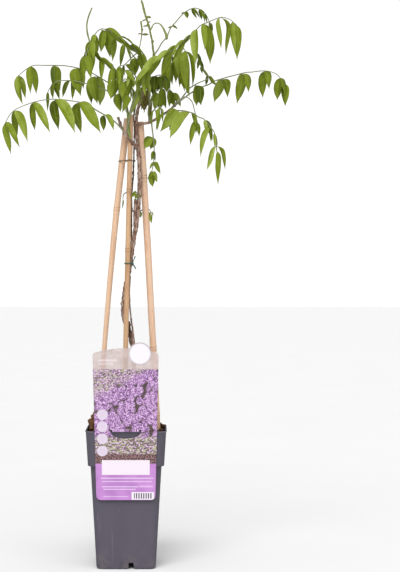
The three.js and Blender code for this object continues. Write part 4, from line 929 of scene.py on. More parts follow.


# ---- compound leaves -----------------------------------------------------------------------

# name, rachis, width over length, opening in degrees, tones of the front and back leaflets, which
# paint light and shade (0 dark as in shadow, 1 light as lit, below 0 withered), pairs of (share,
# front length, front lean, back length, back lean, and where needed own width over length, front
# sway, back sway), end leaflet (length, lean, and where needed own width, sway); mm, degrees to +X
# from the front, sway in own lengths to +X
LEAVES = [
    ("leaf_high_left", [
        (-4, -14, 773), (-14, -4, 784), (-38, 12, 801), (-50, 26, 810), (-66, 38, 820),
        (-85, 50, 827), (-106, 60, 832), (-125, 69, 834), (-141, 76, 835), (-163, 84, 835.5),
        (-182, 89, 824), (-191, 91, 816)],
     0.28, 14, (0.4, 0.6),
     [(0.3, 49, 1, 51, 5, 0.32, -0.2, -0.1), (0.49, 51, 8, 37, 16, 0.3, -0.13, 0.02),
      (0.68, 50, 3, 45, 13, 0.24, 0.05, 0.07), (0.86, 51, -1, 49, 9, 0.2, -0.05, 0),
      (0.975, 46, 5, 42, 15, 0.2, -0.02, 0.02)],
     (49, 11, 0.22, -0.02)),
    ("leaf_low_left", [
        (-4, -17, 712), (-19, -22, 728), (-35, -28, 738), (-48, -33, 745), (-59, -37, 752),
        (-75, -43, 757), (-91, -49, 759), (-106, -54, 760), (-122, -59, 760), (-138, -64, 757),
        (-154, -69, 752), (-169, -73, 745.5), (-177, -75, 741), (-185, -77, 733), (-194, -79, 716)],
     0.27, 14, (0.62, 0.3),
     [(0.19, 32, 31, 27, -2, 0.34, -0.02, -0.1), (0.395, 65, 35, 51, 4, 0.27, -0.02, -0.13),
      (0.56, 66, 29, 50, 4, 0.25, -0.05, -0.13), (0.735, 60, 31, 46, 5, 0.2),
      (0.875, 58, 24, 48, 4, 0.2, 0.04, 0), (0.975, 50, 29, 42, 5, 0.18, -0.04, -0.02)],
     (50, 11, 0.18, -0.1)),
    ("leaf_mid_left", [
        (1, -19, 752), (-11, -8, 769), (-26, 4, 778), (-38, 14, 786), (-69, 33, 798),
        (-93, 41, 804), (-110, 47, 805), (-119, 50, 804), (-126, 53, 799), (-131, 55, 793),
        (-135, 57, 786)],
     0.22, 14, (0.2, 0.25),
     [(0.55, 35, 13, 36, 12, 0.22, 0.06, 0.08), (0.715, 34, -24, 33, 4, 0.2, -0.08, 0.06),
      (0.87, 32, -7, 31, 12, 0.22, -0.08, -0.04)],
     (34, -2, 0.16, 0)),
    ("leaf_arch_left", [
        (40, -1, 815), (30, -8, 828), (21, -14, 841), (8, -20, 851), (-4, -24, 859.5),
        (-15, -31, 866), (-26, -38, 873), (-36, -43, 876), (-42, -46, 875), (-50, -49, 867),
        (-55, -51, 859), (-61, -55, 844), (-62, -57, 837), (-66, -58, 829)],
     0.26, 12, (0.45, 0.45),
     [(0.2, 34, 20, 30, 8), (0.33, 38, 52, 34, 46, 0.22), (0.46, 42, 56, 38, 50, 0.22),
      (0.63, 44, 54, 40, 50, 0.2), (0.75, 26, -10, 34, 6, 0.3), (0.83, 36, 10, 34, -8),
      (0.92, 36, 13, 33, -10), (0.985, 42, 13, 28, -20)],
     (38, -4)),
    ("leaf_inner_arch", [
        (28, 7, 827), (14, 9, 837), (4, 11, 851), (-3, 12, 859), (-10, 13, 868), (-21, 15, 875),
        (-35, 17, 883), (-43, 18, 885)],
     0.27, 14, (0.4, 0.5),
     [(0.19, 31, -2, 30, 0, 0.34, -0.06, -0.02), (0.5, 43, -9, 31, 22, 0.18),
      (0.79, 32, -11, 45, 1, 0.27, 0, -0.04), (0.94, 40, -8, 46, 12)],
     (40, 19)),
    ("leaf_inner_low", [
        (37, 4, 808), (32, 2, 828), (27, 0, 840), (20, -4, 844), (12, -10, 838), (4, -17, 829),
        (-4, -26, 820), (-12, -34, 817)],
     0.26, 14, (0.35, 0.35),
     [(0.86, 28, 42, 18, 0)],
     (42, -5)),
    ("leaf_front_left", [
        (-12, -10, 794), (-17, -14, 801), (-24, -20, 818), (-35, -25, 825), (-43, -29, 831),
        (-51, -32, 837), (-58, -34, 845)],
     0.24, 12, (0.45, 0.5),
     [(0.39, 24, 20, 24, 32), (0.57, 32, 40, 28, 46), (0.72, 41, 4, 32, 50, 0.2, 0.06, 0),
      (0.9, 32, 48, 26, 44)],
     (24, 46)),
    ("leaf_front", [
        (3, -19, 740), (-2, -28, 756), (-7, -38, 773), (-11, -47, 793), (-16, -54, 808),
        (-22, -60, 812)],
     0.46, 10, (0.5, 0.5),
     [(0.445, 33, 1, 31, -4, 0.46, 0.05, -0.1), (0.69, 32, 8, 34, -25), (0.89, 28, 8, 28, -6, 0.3)],
     (36, -12, 0.15)),
    ("leaf_front_up", [
        (24, 3, 768), (20, -15, 782), (18.5, -29, 794), (13, -37, 804), (5, -43, 809), (-3, -48, 808)],
     0.24, 12, (0.75, 0.45),
     [(0.44, 63, -17, 36, 14, 0.2), (0.65, 30, 2, 34, -21), (0.84, 30, -12, 28, 10)],
     (27, 42)),
    ("leaf_high_right", [
        (-1, -19, 707), (4, -28, 728), (10, -28, 752), (19, -29, 778), (26, -30, 794),
        (32, -34, 805), (39, -37, 816), (55, -44, 829), (66, -49, 836), (73, -51, 839),
        (84, -55, 848), (92, -58, 853.5), (102, -62, 860), (113, -66, 870.5), (121, -68, 878),
        (132, -71, 882), (145, -74, 887), (154, -76, 889), (168, -79, 884), (175, -80, 877),
        (178, -81, 874)],
     0.22, 12, (0.65, 0.6),
     [(0.38, 44, -4, 40, 8), (0.42, 54, -37, 44, -30, 0.26, 0.04, 0),
      (0.49, 56, -42, 48, -36, 0.26, 0.06, 0.02), (0.55, 42, -53, 44, -20, 0.26, 0.08, 0),
      (0.6, 36, -48, 38, -40, 0.22, 0.08, 0.04), (0.655, 38, -38, 44, -30, 0.18, 0.06, 0),
      (0.7, 34, -45, 30, -41, 0.2, 0.08, 0.06), (0.745, 60, -2, 38, -42, 0.2, -0.06, 0.04),
      (0.795, 46, 1, 66, 9, 0.21, -0.06, 0), (0.89, 55, 1, 62, 9, 0.12, -0.14, 0.3),
      (0.965, 56, 4, 50, 9, 0.16, -0.03, 0.1)],
     (57, 2, 0.2, 0.08)),
    ("leaf_right_mid", [
        (66, 5, 821), (75, -2, 839), (83, -7, 848), (90, -11, 852), (96, -15, 846), (99, -18, 836)],
     0.2, 12, (0.6, 0.5),
     [(0.335, 60, -3, 46, 8), (0.54, 50, 3, 70, 11), (0.84, 70, 2, 62, 12, 0.2, 0, 0.04)],
     (68, 4)),
    ("leaf_far_right", [
        (83, -5, 760), (94, -8, 768), (108, -8, 778), (126, -3, 788), (136, 0, 792),
        (144, 2, 797.5), (154, 5, 801), (166, 8, 805), (180, 11, 809), (198, 15, 814),
        (208, 17, 815), (222, 19, 817), (235, 21, 817), (250, 23, 812), (264, 24, 795)],
     0.34, 12, (0.4, 0.6),
     [(0.425, 34, 17, 41, -18, 0.34, 0.2, 0.17), (0.6, 35, 18, 51, -9, 0.29, 0.2, 0.12),
      (0.785, 33, 14, 45, -2, 0.32, 0.12, 0.07), (0.93, 32, 16, 38, -6)],
     (38, 2)),
    ("leaf_low_right", [
        (55, -2, 739), (65, -6, 744), (73, -10, 747), (88, -15, 747), (96, -18, 746),
        (104, -21, 743.5), (112, -24, 740.5), (118, -26, 735), (126, -29, 732), (131.5, -31, 725.5),
        (138, -33, 717), (143, -35, 710), (146, -37, 698), (147, -39, 686), (147.5, -40, 677)],
     0.2, 12, (0.65, 0.35),
     [(0.24, 48, -40, 36, -26, 0.36, 0.04, 0.06), (0.39, 57, -38, 24, 20, 0.28, -0.1, 0.1),
      (0.58, 26, 12, 38, 22, 0.22, 0, 0.06),
      (0.69, 54, -18, 26, 4, 0.15, -0.02, 0), (0.78, 26, 0, 30, 6, 0.18, 0, -0.06),
      (0.93, 44, -22, 42, 20, 0.17, -0.02, 0.06)],
     (56, 2, 0.2, 0.1)),
    ("leaf_short_right", [
        (74, -3, 752), (80, -12, 759), (88, -18, 765), (97, -18, 769), (107, -12, 763),
        (112, -8, 748), (117, -6, 728)],
     0.3, 12, (0.4, 0.4),
     [(0.94, 46, -14, 24, -4, 0.17, -0.04, 0)],
     (24, 7, 0.24)),
    ("leaf_sprig_right", [
        (86, -5, 762), (95, 3, 775), (103, -5, 784), (112, -16, 789), (120, -17, 793), (129, -14, 797),
        (135, -9, 802), (131, -4, 812), (124, 1, 820), (119, 4, 832), (116, 7, 846)],
     0.3, 12, (0.1, 0.35),
     [(0.37, 37, 17, 35, 6, 0.34, 0.34, 0.12), (0.63, 18, -14, 22, 42), (0.8, 13, 10, 24, 36),
      (0.91, 20, 30, 18, -4)],
     (19, 28)),
    ("leaf_hanging", [
        (41, -4, 729), (43, -6, 712), (45, -8, 695), (45.5, -8, 679), (44, -8, 659), (40, -8, 641)],
     0.46, 16, (0.4, 0.4),
     [(0.28, 25, -36, 21, -14, 0.5), (0.53, 18, -15, 18, 6, 0.3, -0.15, 0.16),
      (0.74, 25, 29, 15, -31, 0.3, 0.02, 0), (0.92, 16, -28, 21, 27)],
     (20, 8)),
    # painted shade: this leaf lies deep in the crown, so its tones are kept dark as if in shadow
    ("leaf_dark_right", [
        (38, 6, 758), (37, -7, 778), (40, -15, 796), (48, -22, 803), (58, -27, 803),
        (65, -31, 796)],
     0.5, 14, (0.08, 0.08),
     [(0.565, 22, -2, 24, 6), (0.727, 27, -8, 26, 8), (0.87, 24, -3, 24, 12)],
     (22, 4)),
    ("leaf_back_right", [(40, 10, 765), (48, 18, 782), (58, 26, 790), (69, 32, 789), (77, 36, 783)],
     0.3, 14, (0.6, 0.6),
     [(0.35, 33, -3, 30, 12), (0.6, 40, -5, 36, 13), (0.85, 32, 0, 32, 20)],
     (28, 30)),
    ("leaf_top_right", [(62, 7, 813), (69, 14, 833), (77, 20, 840), (84, 26, 836), (88, 30, 822)],
     0.22, 14, (0.5, 0.5),
     [(0.15, 44, -14, 40, 4), (0.4, 44, -8, 42, 8), (0.75, 48, 4, 52, 22)],
     (46, 18)),
    ("leaf_under_right", [(38, -3, 735), (43, -12, 745), (50, -22, 752), (56, -32, 750), (60, -38, 740)],
     0.18, 16, (0.45, 0.5),
     [(0.4, 28, -10, 24, 14), (0.72, 40, -6, 26, 10)],
     (32, -22)),
    ("leaf_back", [(12, 8, 742), (16, 24, 766), (22, 44, 790), (30, 68, 800), (36, 90, 792), (38, 104, 780)],
     0.24, 14, (-0.3, -0.2),
     [(0.4, 40, -10, 36, 16), (0.6, 44, -6, 42, 8), (0.8, 42, -10, 38, 10)],
     (40, -4)),
    ("leaf_back_left", [
        (12, 10, 758), (8, 28, 782), (2, 50, 800), (-4, 74, 812), (-8, 92, 810), (-8, 104, 800)],
     0.24, 14, (0.5, 0.5),
     [(0.4, 36, -12, 34, 12), (0.6, 40, -10, 38, 10), (0.82, 38, -12, 36, 10)],
     (38, -4)),
    ("leaf_unfolding", [
        (44, -4, 838), (52, 0, 850), (58, 3, 861), (66, 6, 871), (73, 9, 887), (82, 12, 898),
        (90, 15, 908), (100, 18, 917), (112, 20, 922), (122, 22, 920), (128, 23, 916.5),
        (135, 24, 906), (139, 25, 892)],
     0.3, 20, (0.2, 0.3),
     [(0.39, 12, 62, 8, -70), (0.61, 13, 20, 8, -80, 0.5), (0.685, 24, 40, 20, 34, 0.2),
      (0.77, 25, 25, 20, 17, 0.2), (0.85, 22, 8, 16, -4, 0.16), (0.95, 22, 14, 16, 2)],
     (14, 14)),
    ("young_leaf_left", [
        (8.3, -2, 611), (3, -3.5, 613), (-2.5, -7, 612), (-5, -13, 608), (-5.8, -20, 602)],
     0.3, 10, (0.3, 0.3), [], (17, -4)),
    ("young_leaf_middle", [(18.6, -5, 598), (18, -13, 609), (15, -19, 615)], 0.5, 30, (0.6, 0.6),
     [(0.7, 11, 40, 10, -20)], (13, -35)),
    ("young_leaf_right", [
        (17.8, -5, 580), (22, 9, 583), (31, 20, 588), (37.5, 17, 586), (40.4, 9, 579)],
     0.35, 16, (0.6, 0.6),
     [(0.3, 12, 4, 11, -10), (0.9, 10, -4, 10, 24)], (17, 2)),
]

# Half width by share of length: an egg shape, widest low down, and an even oval with a drip tip.
BLADE = [
    (0, 0.1, 0.08), (0.04, 0.5, 0.38), (0.09, 0.76, 0.62), (0.16, 0.93, 0.82), (0.24, 1, 0.94),
    (0.32, 1, 0.98), (0.42, 0.94, 1), (0.52, 0.83, 0.97), (0.62, 0.69, 0.87), (0.72, 0.52, 0.69),
    (0.81, 0.34, 0.44), (0.89, 0.18, 0.2), (0.95, 0.09, 0.08), (1, 0.015, 0.015),
]
COLUMNS = (-1, -0.72, -0.38, 0, 0.38, 0.72, 1)
BLADE_THICKNESS = 0.28 * MM
RACHIS_RADII = (1.3, 1, 0.9, 0.7)
LEAF_FOOT_RADII = (1.5, 1.6, 1)
STALK_RADII = (0.55, 0.42, 0.3)
RACHIS_STEP = 3 * MM
# How far a leaflet bows to its side of the rachis and, where it leans, arches upwards, in its
# own lengths.
SIDE_BOW = 0.1
ARCH = 0.15
FACING = 0.4  # share of a blade's depth that is left once it has turned to the front
RIPPLE = 0.055  # height of the waves in a blade's edge, in half widths
FAR_SIDE = 1.9  # radians between the waves of a blade's two sides


def bow_at(share):
    """The leaflet's bend: quick to rise near its foot and back to nothing at its tip."""
    return (1 - share) ** 1.1 * (1 - math.exp(-7 * share))


def add_leaflet(shape, base, along, side, sway, length, lean, spread, broad, light_shade_wither, draw):
    """One leaflet: a short stalk and a folded, slightly waved blade that arches out and over."""
    tilt = math.radians(lean)
    heading = Vector((math.sin(tilt), side.y * math.tan(math.radians(spread)), -math.cos(tilt)))
    heading.normalize()
    across = Vector((along.x, along.y * FACING, along.z))
    across = (across - heading * across.dot(heading)).normalized()
    across = Quaternion(heading, draw.gauss(0, 0.2)) @ across
    face = heading.cross(across)
    if face.dot(side) < 0:
        across, face = -across, -face
    length *= MM
    begin = min(1.4 * MM, length * 0.06) / length
    bend = side * SIDE_BOW + Vector((sway, 0, 0)) + (UP - heading * heading.z) * ARCH
    fold = math.tan(math.radians(draw.uniform(16, 34)))
    waver = draw.uniform(-0.04, 0.04)
    waves, phase = draw.uniform(1.5, 2.8), draw.uniform(0, math.tau)
    oval = draw.uniform(0, 1)
    half = length * broad / 2 * draw.uniform(1.08, 1.22)
    # painted light and shade: one half of the folded blade is made paler and the other darker, as if one
    # half faced the light
    painted_fold_light = draw.choice((-1, 1)) * draw.uniform(0.06, 0.2)
    shade = light_shade_wither + draw.gauss(0, 0.07)

    def spine(share):
        drift = waver * math.sin(math.pi * share)
        return base + (heading * share + bend * bow_at(share) + across * drift) * length

    rows, tags = [], []
    for share, egg, even in BLADE:
        wide = egg + (even - egg) * oval
        t = begin + (1 - begin) * share
        centre = spine(t)
        ahead = (spine(min(t + 0.01, 1)) - spine(max(t - 0.01, 0))).normalized()
        lift = ahead.cross(across).normalized()
        if lift.dot(face) < 0:
            lift.negate()
        row = []
        for c in COLUMNS:
            ripple = RIPPLE * math.sin(math.tau * waves * share + phase + (c > 0) * FAR_SIDE) * c * c
            raise_by = (abs(c) ** 1.3 * fold + ripple) * wide * half
            row.append(centre + across * (c * wide * half) + lift * raise_by)
            tags.append((float(c), share, shade + painted_fold_light * c))
        rows.append(row)
    shape.sheet(rows, tags, BLADE_THICKNESS)
    stalk = Path([base, spine(begin * 0.55), spine(begin * 1.3)])
    shape.tube(stalk, stops(STALK_RADII, MM), 6, 4, kind=1)


def make_leaf(name, route, broad, spread, pair_light_shade_wither, pairs, end, materials, seed):
    """A rachis with a swollen foot, its pairs of leaflets and the leaflet at its end."""
    draw = random.Random(seed)
    path = Path(points(route))
    shape = Shape("leaf_place")
    steps = max(16, int(path.length / RACHIS_STEP))
    shape.tube(path, stops(RACHIS_RADII, MM), 8, steps, kind=1, rough=0.1)
    foot = Path([path.at(far * MM / path.length) for far in (0, 2.2, 5)])
    shape.tube(foot, stops(LEAF_FOOT_RADII, MM), 8, 6, kind=1)
    for share, front, front_lean, back, back_lean, *own in pairs:
        base, tangent = path.at(share), path.tangent(share)
        side = Vector((tangent.y, -tangent.x, 0)).normalized()
        if side.y > 0:
            side.negate()
        wide = own[0] if own else broad
        sways = own[1:] or (0, 0)
        # the front and back leaflets take their painted light and shade from the leaf's pair of tones
        add_leaflet(shape, base, tangent, side, sways[0], front, front_lean, spread, wide, pair_light_shade_wither[0], draw)
        add_leaflet(shape, base, tangent, -side, sways[1], back, back_lean, spread, wide, pair_light_shade_wither[1], draw)
    tangent = path.tangent(1)
    flat = Vector((tangent.x, tangent.y, 0)).normalized()
    side = Vector((0, -1, 0))
    length, lean, *own = end
    wide = own[0] if own else broad
    sway = own[1] if own[1:] else 0
    add_leaflet(shape, path.at(0.99), flat, side, sway, length, lean, 0, wide, sum(pair_light_shade_wither) / 2, draw)
    shape.build(name + "_blades", materials, "leaf", name)


# ---- ties ----------------------------------------------------------------------------------

CANE_TIE_AT, TWIST_TIE_AT = 665 * MM, 496 * MM
TIED_STEM = Vector((6.3, -10.9, 496)) * MM
RING_POINTS, RING_STEPS = 90, 150
KNOT_OUT, KNOT_SIZE = Vector((3.2, -3.4, 0)) * MM, Vector((4.4, 3.4, 4.8)) * MM
# The twist tie's free ends: two points from the knot and the radii along them, in mm
TWIST_ENDS = [
    ((2, -2, 4), (5, -2, 12), (0.8, 0.65, 0.9)),
    ((3, -2, -4), (6, -3, -9), (1.3, 1.2, 1)),
]


def loop_path(a, radius_a, b, radius_b, z):
    """Points of a closed loop round two upright rods; radii in mm."""
    facing = math.atan2(b.y - a.y, b.x - a.x)
    knots = []
    halves = ((b, radius_b * MM, facing - math.pi / 2), (a, radius_a * MM, facing + math.pi / 2))
    for centre, radius, start in halves:
        for i in range(7):
            angle = start + math.pi * i / 6
            x, y = centre.x + radius * math.cos(angle), centre.y + radius * math.sin(angle)
            knots.append(Vector((x, y, z)))
    return knots


def add_ring(shape, knots, thick, turns=0):
    """A closed wire, or two wires twisted round each other, through the knots."""
    whole = Path([*knots, knots[0], knots[1]])
    for start in (0.0, math.pi) if turns else (0.0,):
        line = []
        for i in range(RING_POINTS):
            share = i / RING_POINTS
            out = whole.tangent(share).cross(UP).normalized()
            angle = start + math.tau * turns * share
            offset = thick * 0.9 if turns else 0
            line.append(whole.at(share) + (out * math.cos(angle) + UP * math.sin(angle)) * offset)
        shape.tube(Path(line), lambda share: thick, 8, RING_STEPS)


def make_ties(steel, green):
    """Two turns of wire round two canes, and a twist tie round the middle cane and the stem."""
    a, b = (cane_at(name, CANE_TIE_AT) for name in ("cane_left", "cane_middle"))
    shape = Shape("leaf_place")
    knots = loop_path(a, 6.1, b, 4.7, CANE_TIE_AT)
    add_ring(shape, knots, 0.5 * MM)
    second = [k + UP * (0.9 + 0.5 * math.sin(i)) * MM for i, k in enumerate(knots)]
    add_ring(shape, second, 0.45 * MM)
    shape.build("cane_tie_wire", [steel], "wire", "cane_tie")
    a = cane_at("cane_middle", TWIST_TIE_AT)
    shape = Shape("leaf_place")
    add_ring(shape, loop_path(a, 5, TIED_STEM, 4.9, TWIST_TIE_AT), 0.55 * MM, turns=9)
    knot = TIED_STEM + KNOT_OUT
    for first, last, radii in TWIST_ENDS:
        end = Path([knot, knot + Vector(first) * MM, knot + Vector(last) * MM])
        shape.tube(end, stops(radii, MM), 8, 24, rough=0.4)
    shape.lump(knot, KNOT_SIZE, (0.3, 0.2, 0.5), 10, 12, 0.5, seed=3.1)
    shape.build("twist_tie_wire", [green], "wire", "twist_tie")


# ---- label ---------------------------------------------------------------------------------

# In mm: a place just in front of the pot's lip, and measures across and up from it
LABEL_HOOK = Vector((0, -67.6, 225))
LABEL_LEAN = math.radians(4.2)
LABEL_BOTTOM, LABEL_EDGE_TOP, LABEL_CROWN_TOP = -111, 129, 135
LABEL_BOTTOM_HALF, LABEL_TOP_HALF = 47.4, 53.2
LABEL_CORNER = 8
LABEL_DISC = (22.8, 126, 18.4)  # across, up, radius
LABEL_SHEET = 0.7
SLOT_HALF, SLOT_TOP, SLOT_DEPTH = 25, 3, 11
# Half width, depth and height of the tongue from the slot over the rim and down inside it
TONGUE = [
    (21.5, -68, 225), (21.5, -67.8, 227.4), (21.5, -66.4, 228.7), (21.5, -63.8, 228.6),
    (21.5, -62.8, 226.9), (17.5, -62.7, 220.4),
]
TONGUE_SHEET = 0.6


def label_half(up):
    share = (up - LABEL_BOTTOM) / (LABEL_EDGE_TOP - LABEL_BOTTOM)
    return LABEL_BOTTOM_HALF + (LABEL_TOP_HALF - LABEL_BOTTOM_HALF) * share


def crown_height(x):
    """Height of the arched top edge at x."""
    half = label_half(LABEL_EDGE_TOP) - LABEL_CORNER
    return LABEL_EDGE_TOP + (LABEL_CROWN_TOP - LABEL_EDGE_TOP) * (1 - (x / half) ** 2)


def bezier(a, b, c, steps):
    """Points of a curve from a to c that is drawn towards b, without a itself."""
    return [
        tuple((1 - t) ** 2 * p + 2 * t * (1 - t) * q + t * t * r for p, q, r in zip(a, b, c))
        for t in (i / steps for i in range(1, steps + 1))
    ]


def label_outline():
    """Counter-clockwise outline, with the round tab at the top."""
    low, high, c = LABEL_BOTTOM, LABEL_EDGE_TOP, LABEL_CORNER
    right = [(label_half(low) - c, low)]
    right += bezier(right[-1], (label_half(low), low), (label_half(low + c), low + c), 8)
    right += [(label_half(up), up) for up in range(-90, 110, 20)]
    right.append((label_half(high - c), high - c))
    right += bezier(right[-1], (label_half(high), high), (label_half(high) - c, high), 8)
    crown = bezier(right[-1], (0, 2 * LABEL_CROWN_TOP - high), (-label_half(high) + c, high), 40)
    dx, dy, r = LABEL_DISC
    crown = [(x, y) for x, y in crown if abs(x - dx) >= r * 0.93 or math.hypot(x - dx, y - dy) >= r]
    start = next(i for i, (x, _) in enumerate(crown) if x < dx)
    angles = [math.radians(a) for a in range(24, 160, 6)]
    arc = [(dx + r * math.cos(t), dy + r * math.sin(t)) for t in angles]
    tab = [(x, y) for x, y in arc if y > crown_height(x) + 0.3]
    left = [(-x, y) for x, y in reversed(right)]
    return right + crown[:start] + tab + crown[start:] + left[1:]


def slot_outline():
    """The slot that the tongue leaves in the sheet."""
    slot = [(-SLOT_HALF, SLOT_TOP)]
    slot += bezier(slot[-1], (-SLOT_HALF, -SLOT_DEPTH), (0, -SLOT_DEPTH), 10)
    return slot + bezier(slot[-1], (SLOT_HALF, -SLOT_DEPTH), (SLOT_HALF, SLOT_TOP), 10)


def label_place(x, up, off):
    """A point of the leaning sheet in metres; the sheet curls a little."""
    curl = 1.1 * (x / 50) ** 2 + 0.5 * math.sin(up * 0.018)
    back = Vector((0, math.cos(LABEL_LEAN), math.sin(LABEL_LEAN)))
    rise = Vector((0, -math.sin(LABEL_LEAN), math.cos(LABEL_LEAN)))
    return (LABEL_HOOK + Vector((x, 0, 0)) + rise * up + back * (off + 0.4 * curl)) * MM


def make_label(material):
    """The printed sheet: its outline filled by a fine mesh, cut through at the slot."""
    flat = bpy.data.curves.new("label_flat", "CURVE")
    flat.dimensions = "2D"
    flat.fill_mode = "BOTH"
    for outline in (label_outline(), slot_outline()):
        spline = flat.splines.new("POLY")
        spline.points.add(len(outline) - 1)
        for point, (x, y) in zip(spline.points, outline):
            point.co = (x, y, 0, 1)
        spline.use_cyclic_u = True
    holder = show("label_flat", flat)
    mesh = real_mesh(holder)
    bpy.data.objects.remove(holder)
    verts = [v.co.copy() for v in mesh.vertices]
    faces = [tuple(p.vertices) for p in mesh.polygons]
    if mesh.polygons[0].normal.z < 0:
        faces = [tuple(reversed(f)) for f in faces]
    n = len(verts)
    edges = [edge for f in faces for edge in zip(f, f[1:] + f[:1])]
    turned = {(b, a) for a, b in edges}
    sheet = [label_place(v.x, v.y, off) for off in (-LABEL_SHEET, 0) for v in verts]
    tags = [(v.x * MM, v.y * MM, front) for front in (1.0, 0.0) for v in verts]
    faces += [tuple(n + i for i in reversed(f)) for f in faces]
    faces += [(a, n + a, n + b, b) for a, b in edges if (a, b) not in turned]
    shape = Shape("label_place")
    shape.add(sheet, faces, tags=tags)
    add_tongue(shape)
    label = shape.build("plant_label_sheet", [material], "label_plastic", "plant_label")
    for face in label.data.polygons:
        face.use_smooth = False


def add_tongue(shape):
    """The flap that bends back over the rim and hangs down inside it."""
    rows, tags = [], []
    for half, y, z in TONGUE:
        across = [half * c for c in (1, 0.5, 0, -0.5, -1)]
        rows.append([Vector((x, y, z)) * MM for x in across])
        tags += [(x * MM, SLOT_TOP * MM, 1.0) for x in across]
    shape.sheet(rows, tags, TONGUE_SHEET * MM)


# Plain bars of the print: bottom, top, left, right, strength
LABEL_BARS = [
    (-76.6, -74.4, -40, 44, 0.35), (-81.8, -79.9, -38, 42, 0.35), (-90.2, -88.6, -38, 20, 0.45),
    (-94.2, -92.7, -36, 16, 0.45), (-106.2, -104.6, -36, 4, 0.3), (-90.4, -87.4, 22, 44, 0.25),
    (114.0, 117.0, -44, -14, 0.4), (108.6, 110.6, -44, -20, 0.4),
]
# The column of plain discs: height and mark
LABEL_MARKS = [(27.6, "ring"), (8.2, "dot"), (-11.4, "bar"), (-31.2, "ring")]
MARKS_AT = -37.7
MARK_TINT = (214, 176, 214)


def distance(s, x, y, cx, cy):
    """Distance of (x, y) from a fixed point."""
    dx, dy = x - cx, y - cy
    return s.math("SQRT", dx * dx + dy * dy)


def label_picture(s, flat, x, up):
    """Round blossom heads in lilac over dark leafy gaps, with leaf sprays below."""
    warp = s.noise(flat, 0.09, detail=2)
    heads = s.cells(s.stretched(flat, (1.0, 0.8, 1)), 0.115, randomness=0.8)
    petals = s.cells(flat, 0.62)
    lilac = s.mix(s.step(s.noise(flat, 0.22, detail=2), 0.35, 0.65), (182, 134, 194), (232, 198, 236))
    lilac = s.mix(s.step(petals, 0.3, 0.75), lilac, (104, 64, 116))
    gap = s.mix(s.step(s.noise(flat, 0.5), 0.4, 0.6), (40, 20, 38), (96, 78, 70))
    blossom = s.mix(s.step(heads, 0.62, 0.84), lilac, gap)
    spray = s.cells(s.stretched(flat, (0.5, 1.3, 1)), 0.3)
    leafy = s.mix(s.step(spray, 0.25, 0.6), (168, 172, 128), (96, 84, 72))
    leafy = s.mix(s.step(s.noise(flat, 0.35), 0.5, 0.6), leafy, (214, 180, 216))
    low_edge = up + (warp - 0.5) * 30.0
    picture = s.mix(s.step(low_edge, -3, -13), blossom, leafy)
    corner = s.step(low_edge - x * 0.55, 74, 92)
    picture = s.mix(corner * s.step(petals, 0.2, 0.5), picture, leafy)
    ground = s.mix(s.step(s.noise(flat, 0.45), 0.4, 0.65), (46, 24, 26), (160, 122, 124))
    return s.mix(s.step(up, -34, -38), picture, ground)


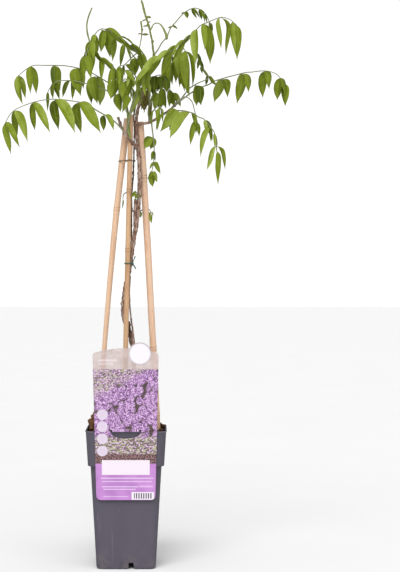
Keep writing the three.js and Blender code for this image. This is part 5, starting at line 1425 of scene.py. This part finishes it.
def label_material():
    """The print, all of it generic: blossom balls, leaf sprays, plain bars and marks.
    label_place holds x and height from the rim in metres, and 1 on the front."""
    s = Shading("label_print", 0.3, specular=0.5)
    x, up, front = s.tagged("label_place")
    x, up = x * 1000.0, up * 1000.0
    flat = s.node("CombineXYZ", {0: x, 1: up}).outputs[0]

    # the frosted band at the top, and the lilac panel with plain bars at the bottom
    frost = s.mix(s.step(s.noise(flat, 0.05), 0.35, 0.65), (186, 164, 156), (204, 186, 180))
    top = s.step(up, 100, 102)
    color = s.mix(top, label_picture(s, flat, x, up), frost)
    panel = s.mix(s.step(s.noise(flat, 0.03), 0.3, 0.7), (170, 114, 182), (190, 134, 200))
    color = s.mix(s.step(up, -51.5, -52.1), color, panel)
    for low, high, left, right, share in LABEL_BARS:
        bar = s.between(up, low, high, 0.25) * s.between(x, left, right, 0.5)
        color = s.mix(bar * share, color, (250, 240, 252))

    # a bare block with a thin line round it, and a block with stripes
    bare = s.between(up, -70, -46, 0.3) * s.between(x, -38.5, 38.4, 0.3)
    color = s.mix(bare, color, (226, 216, 226))
    outer = s.between(up, -67.4, -48.6, 0.2) * s.between(x, -36, 35.6, 0.2)
    inner = s.between(up, -66.8, -49.2, 0.2) * s.between(x, -35.4, 35, 0.2)
    color = s.mix((outer - inner) * 0.35, color, (222, 190, 226))
    box = s.between(up, -110.5, -98, 0.3) * s.between(x, 9.2, 45.4, 0.3)
    color = s.mix(box, color, (226, 218, 226))
    tick = s.step(abs(s.math("FRACT", x * 0.26) - 0.5), 0.3, 0.2)
    stripes = s.between(up, -108.8, -99.6, 0.3) * s.between(x, 13, 42, 0.2) * tick
    color = s.mix(stripes, color, (70, 66, 84))

    for height, mark in LABEL_MARKS:
        far = distance(s, x, up, MARKS_AT, height)
        color = s.mix(s.step(far, 8.8, 8.3), color, (206, 194, 210))
        color = s.mix(s.between(far, 6.9, 7.5, 0.2) * 0.4, color, (226, 196, 226))
        if mark == "ring":
            inked = s.between(far, 2.4, 3.4, 0.3)
        elif mark == "dot":
            inked = s.step(far, 3.2, 2.6)
        else:
            inked = s.between(x, MARKS_AT - 1, MARKS_AT + 1, 0.2) * s.step(far, 5, 4.6)
        color = s.mix(inked * 0.5, color, MARK_TINT)

    # the blank round tab, the plain back and the see-through band
    dx, dy, radius = LABEL_DISC
    far = distance(s, x, up, dx, dy)
    disc = s.step(far, radius - 0.1, radius - 0.7)
    color = s.mix(disc, color, (186, 180, 188))
    color = s.mix(s.step(far, radius - 1.8, radius - 2.6), color, (228, 224, 230))
    color = s.mix(front, (232, 226, 232), color)
    haze = top * s.math("SUBTRACT", 1.0, disc, clamp=True)
    s.put(s.shader.inputs["Alpha"], 1.0 - haze * 0.42)
    return s.finish(color, haze * 0.3 + 0.28, s.bump(s.noise(flat, 0.02, detail=1), 0.0015, 0.2))


# ---- assembly ------------------------------------------------------------------------------

SOIL_TINTS = ((38, 20, 12), (78, 52, 36), (150, 124, 98))
CHIP_TINTS = ((74, 46, 30), (132, 96, 66), (190, 160, 128))
# Base, pale patches, fissures, green of the crown
BARK_TINTS = {
    "bark": ((146, 116, 100), (184, 162, 148), (92, 64, 50), (122, 128, 68)),
    "grey_bark": ((156, 134, 122), (190, 174, 162), (108, 84, 70), (122, 128, 68)),
    "dark_bark": ((88, 62, 46), (130, 106, 90), (46, 28, 18), (96, 100, 54)),
}
# Light, middle and dark green stand for lit, half-lit and shaded leaflets (painted light and shade); the
# last is withered brown
LEAF_TINTS = ((178, 194, 94), (134, 151, 36), (80, 97, 6), (112, 96, 44))
LEAF_ROUGHNESS = 0.42


def main():
    make_camera()
    make_light()
    make_floor()

    make_pot(pot_material())
    soil = soil_material("soil", *SOIL_TINTS, 0.5)
    chip = soil_material("bark_chip", *CHIP_TINTS, 0.6)
    make_soil(soil)
    make_crumbs([soil, chip])
    make_chips(chip)
    for cane, tints in zip(CANES, CANE_TINTS):
        make_cane(*cane, bamboo_material(cane[0] + "_bamboo", *tints))

    barks = {name: bark_material(name, *tints) for name, tints in BARK_TINTS.items()}
    barks["green"] = green_shoot_material()
    for i, (name, route, radii, uneven, material, slot) in enumerate(STEMS):
        make_stem(name, route, radii, uneven, barks[material], slot, seed=i + 1)

    leaf = [leaf_material("leaf_blade", *LEAF_TINTS, LEAF_ROUGHNESS), stalk_material()]
    for i, row in enumerate(LEAVES):
        make_leaf(*row, leaf, seed=100 + i)

    steel = wire_material("tie_wire", (120, 96, 70), (160, 140, 110))
    green = wire_material("twist_tie_green", (56, 88, 78), (96, 128, 116))
    make_ties(steel, green)
    make_label(label_material())


main()
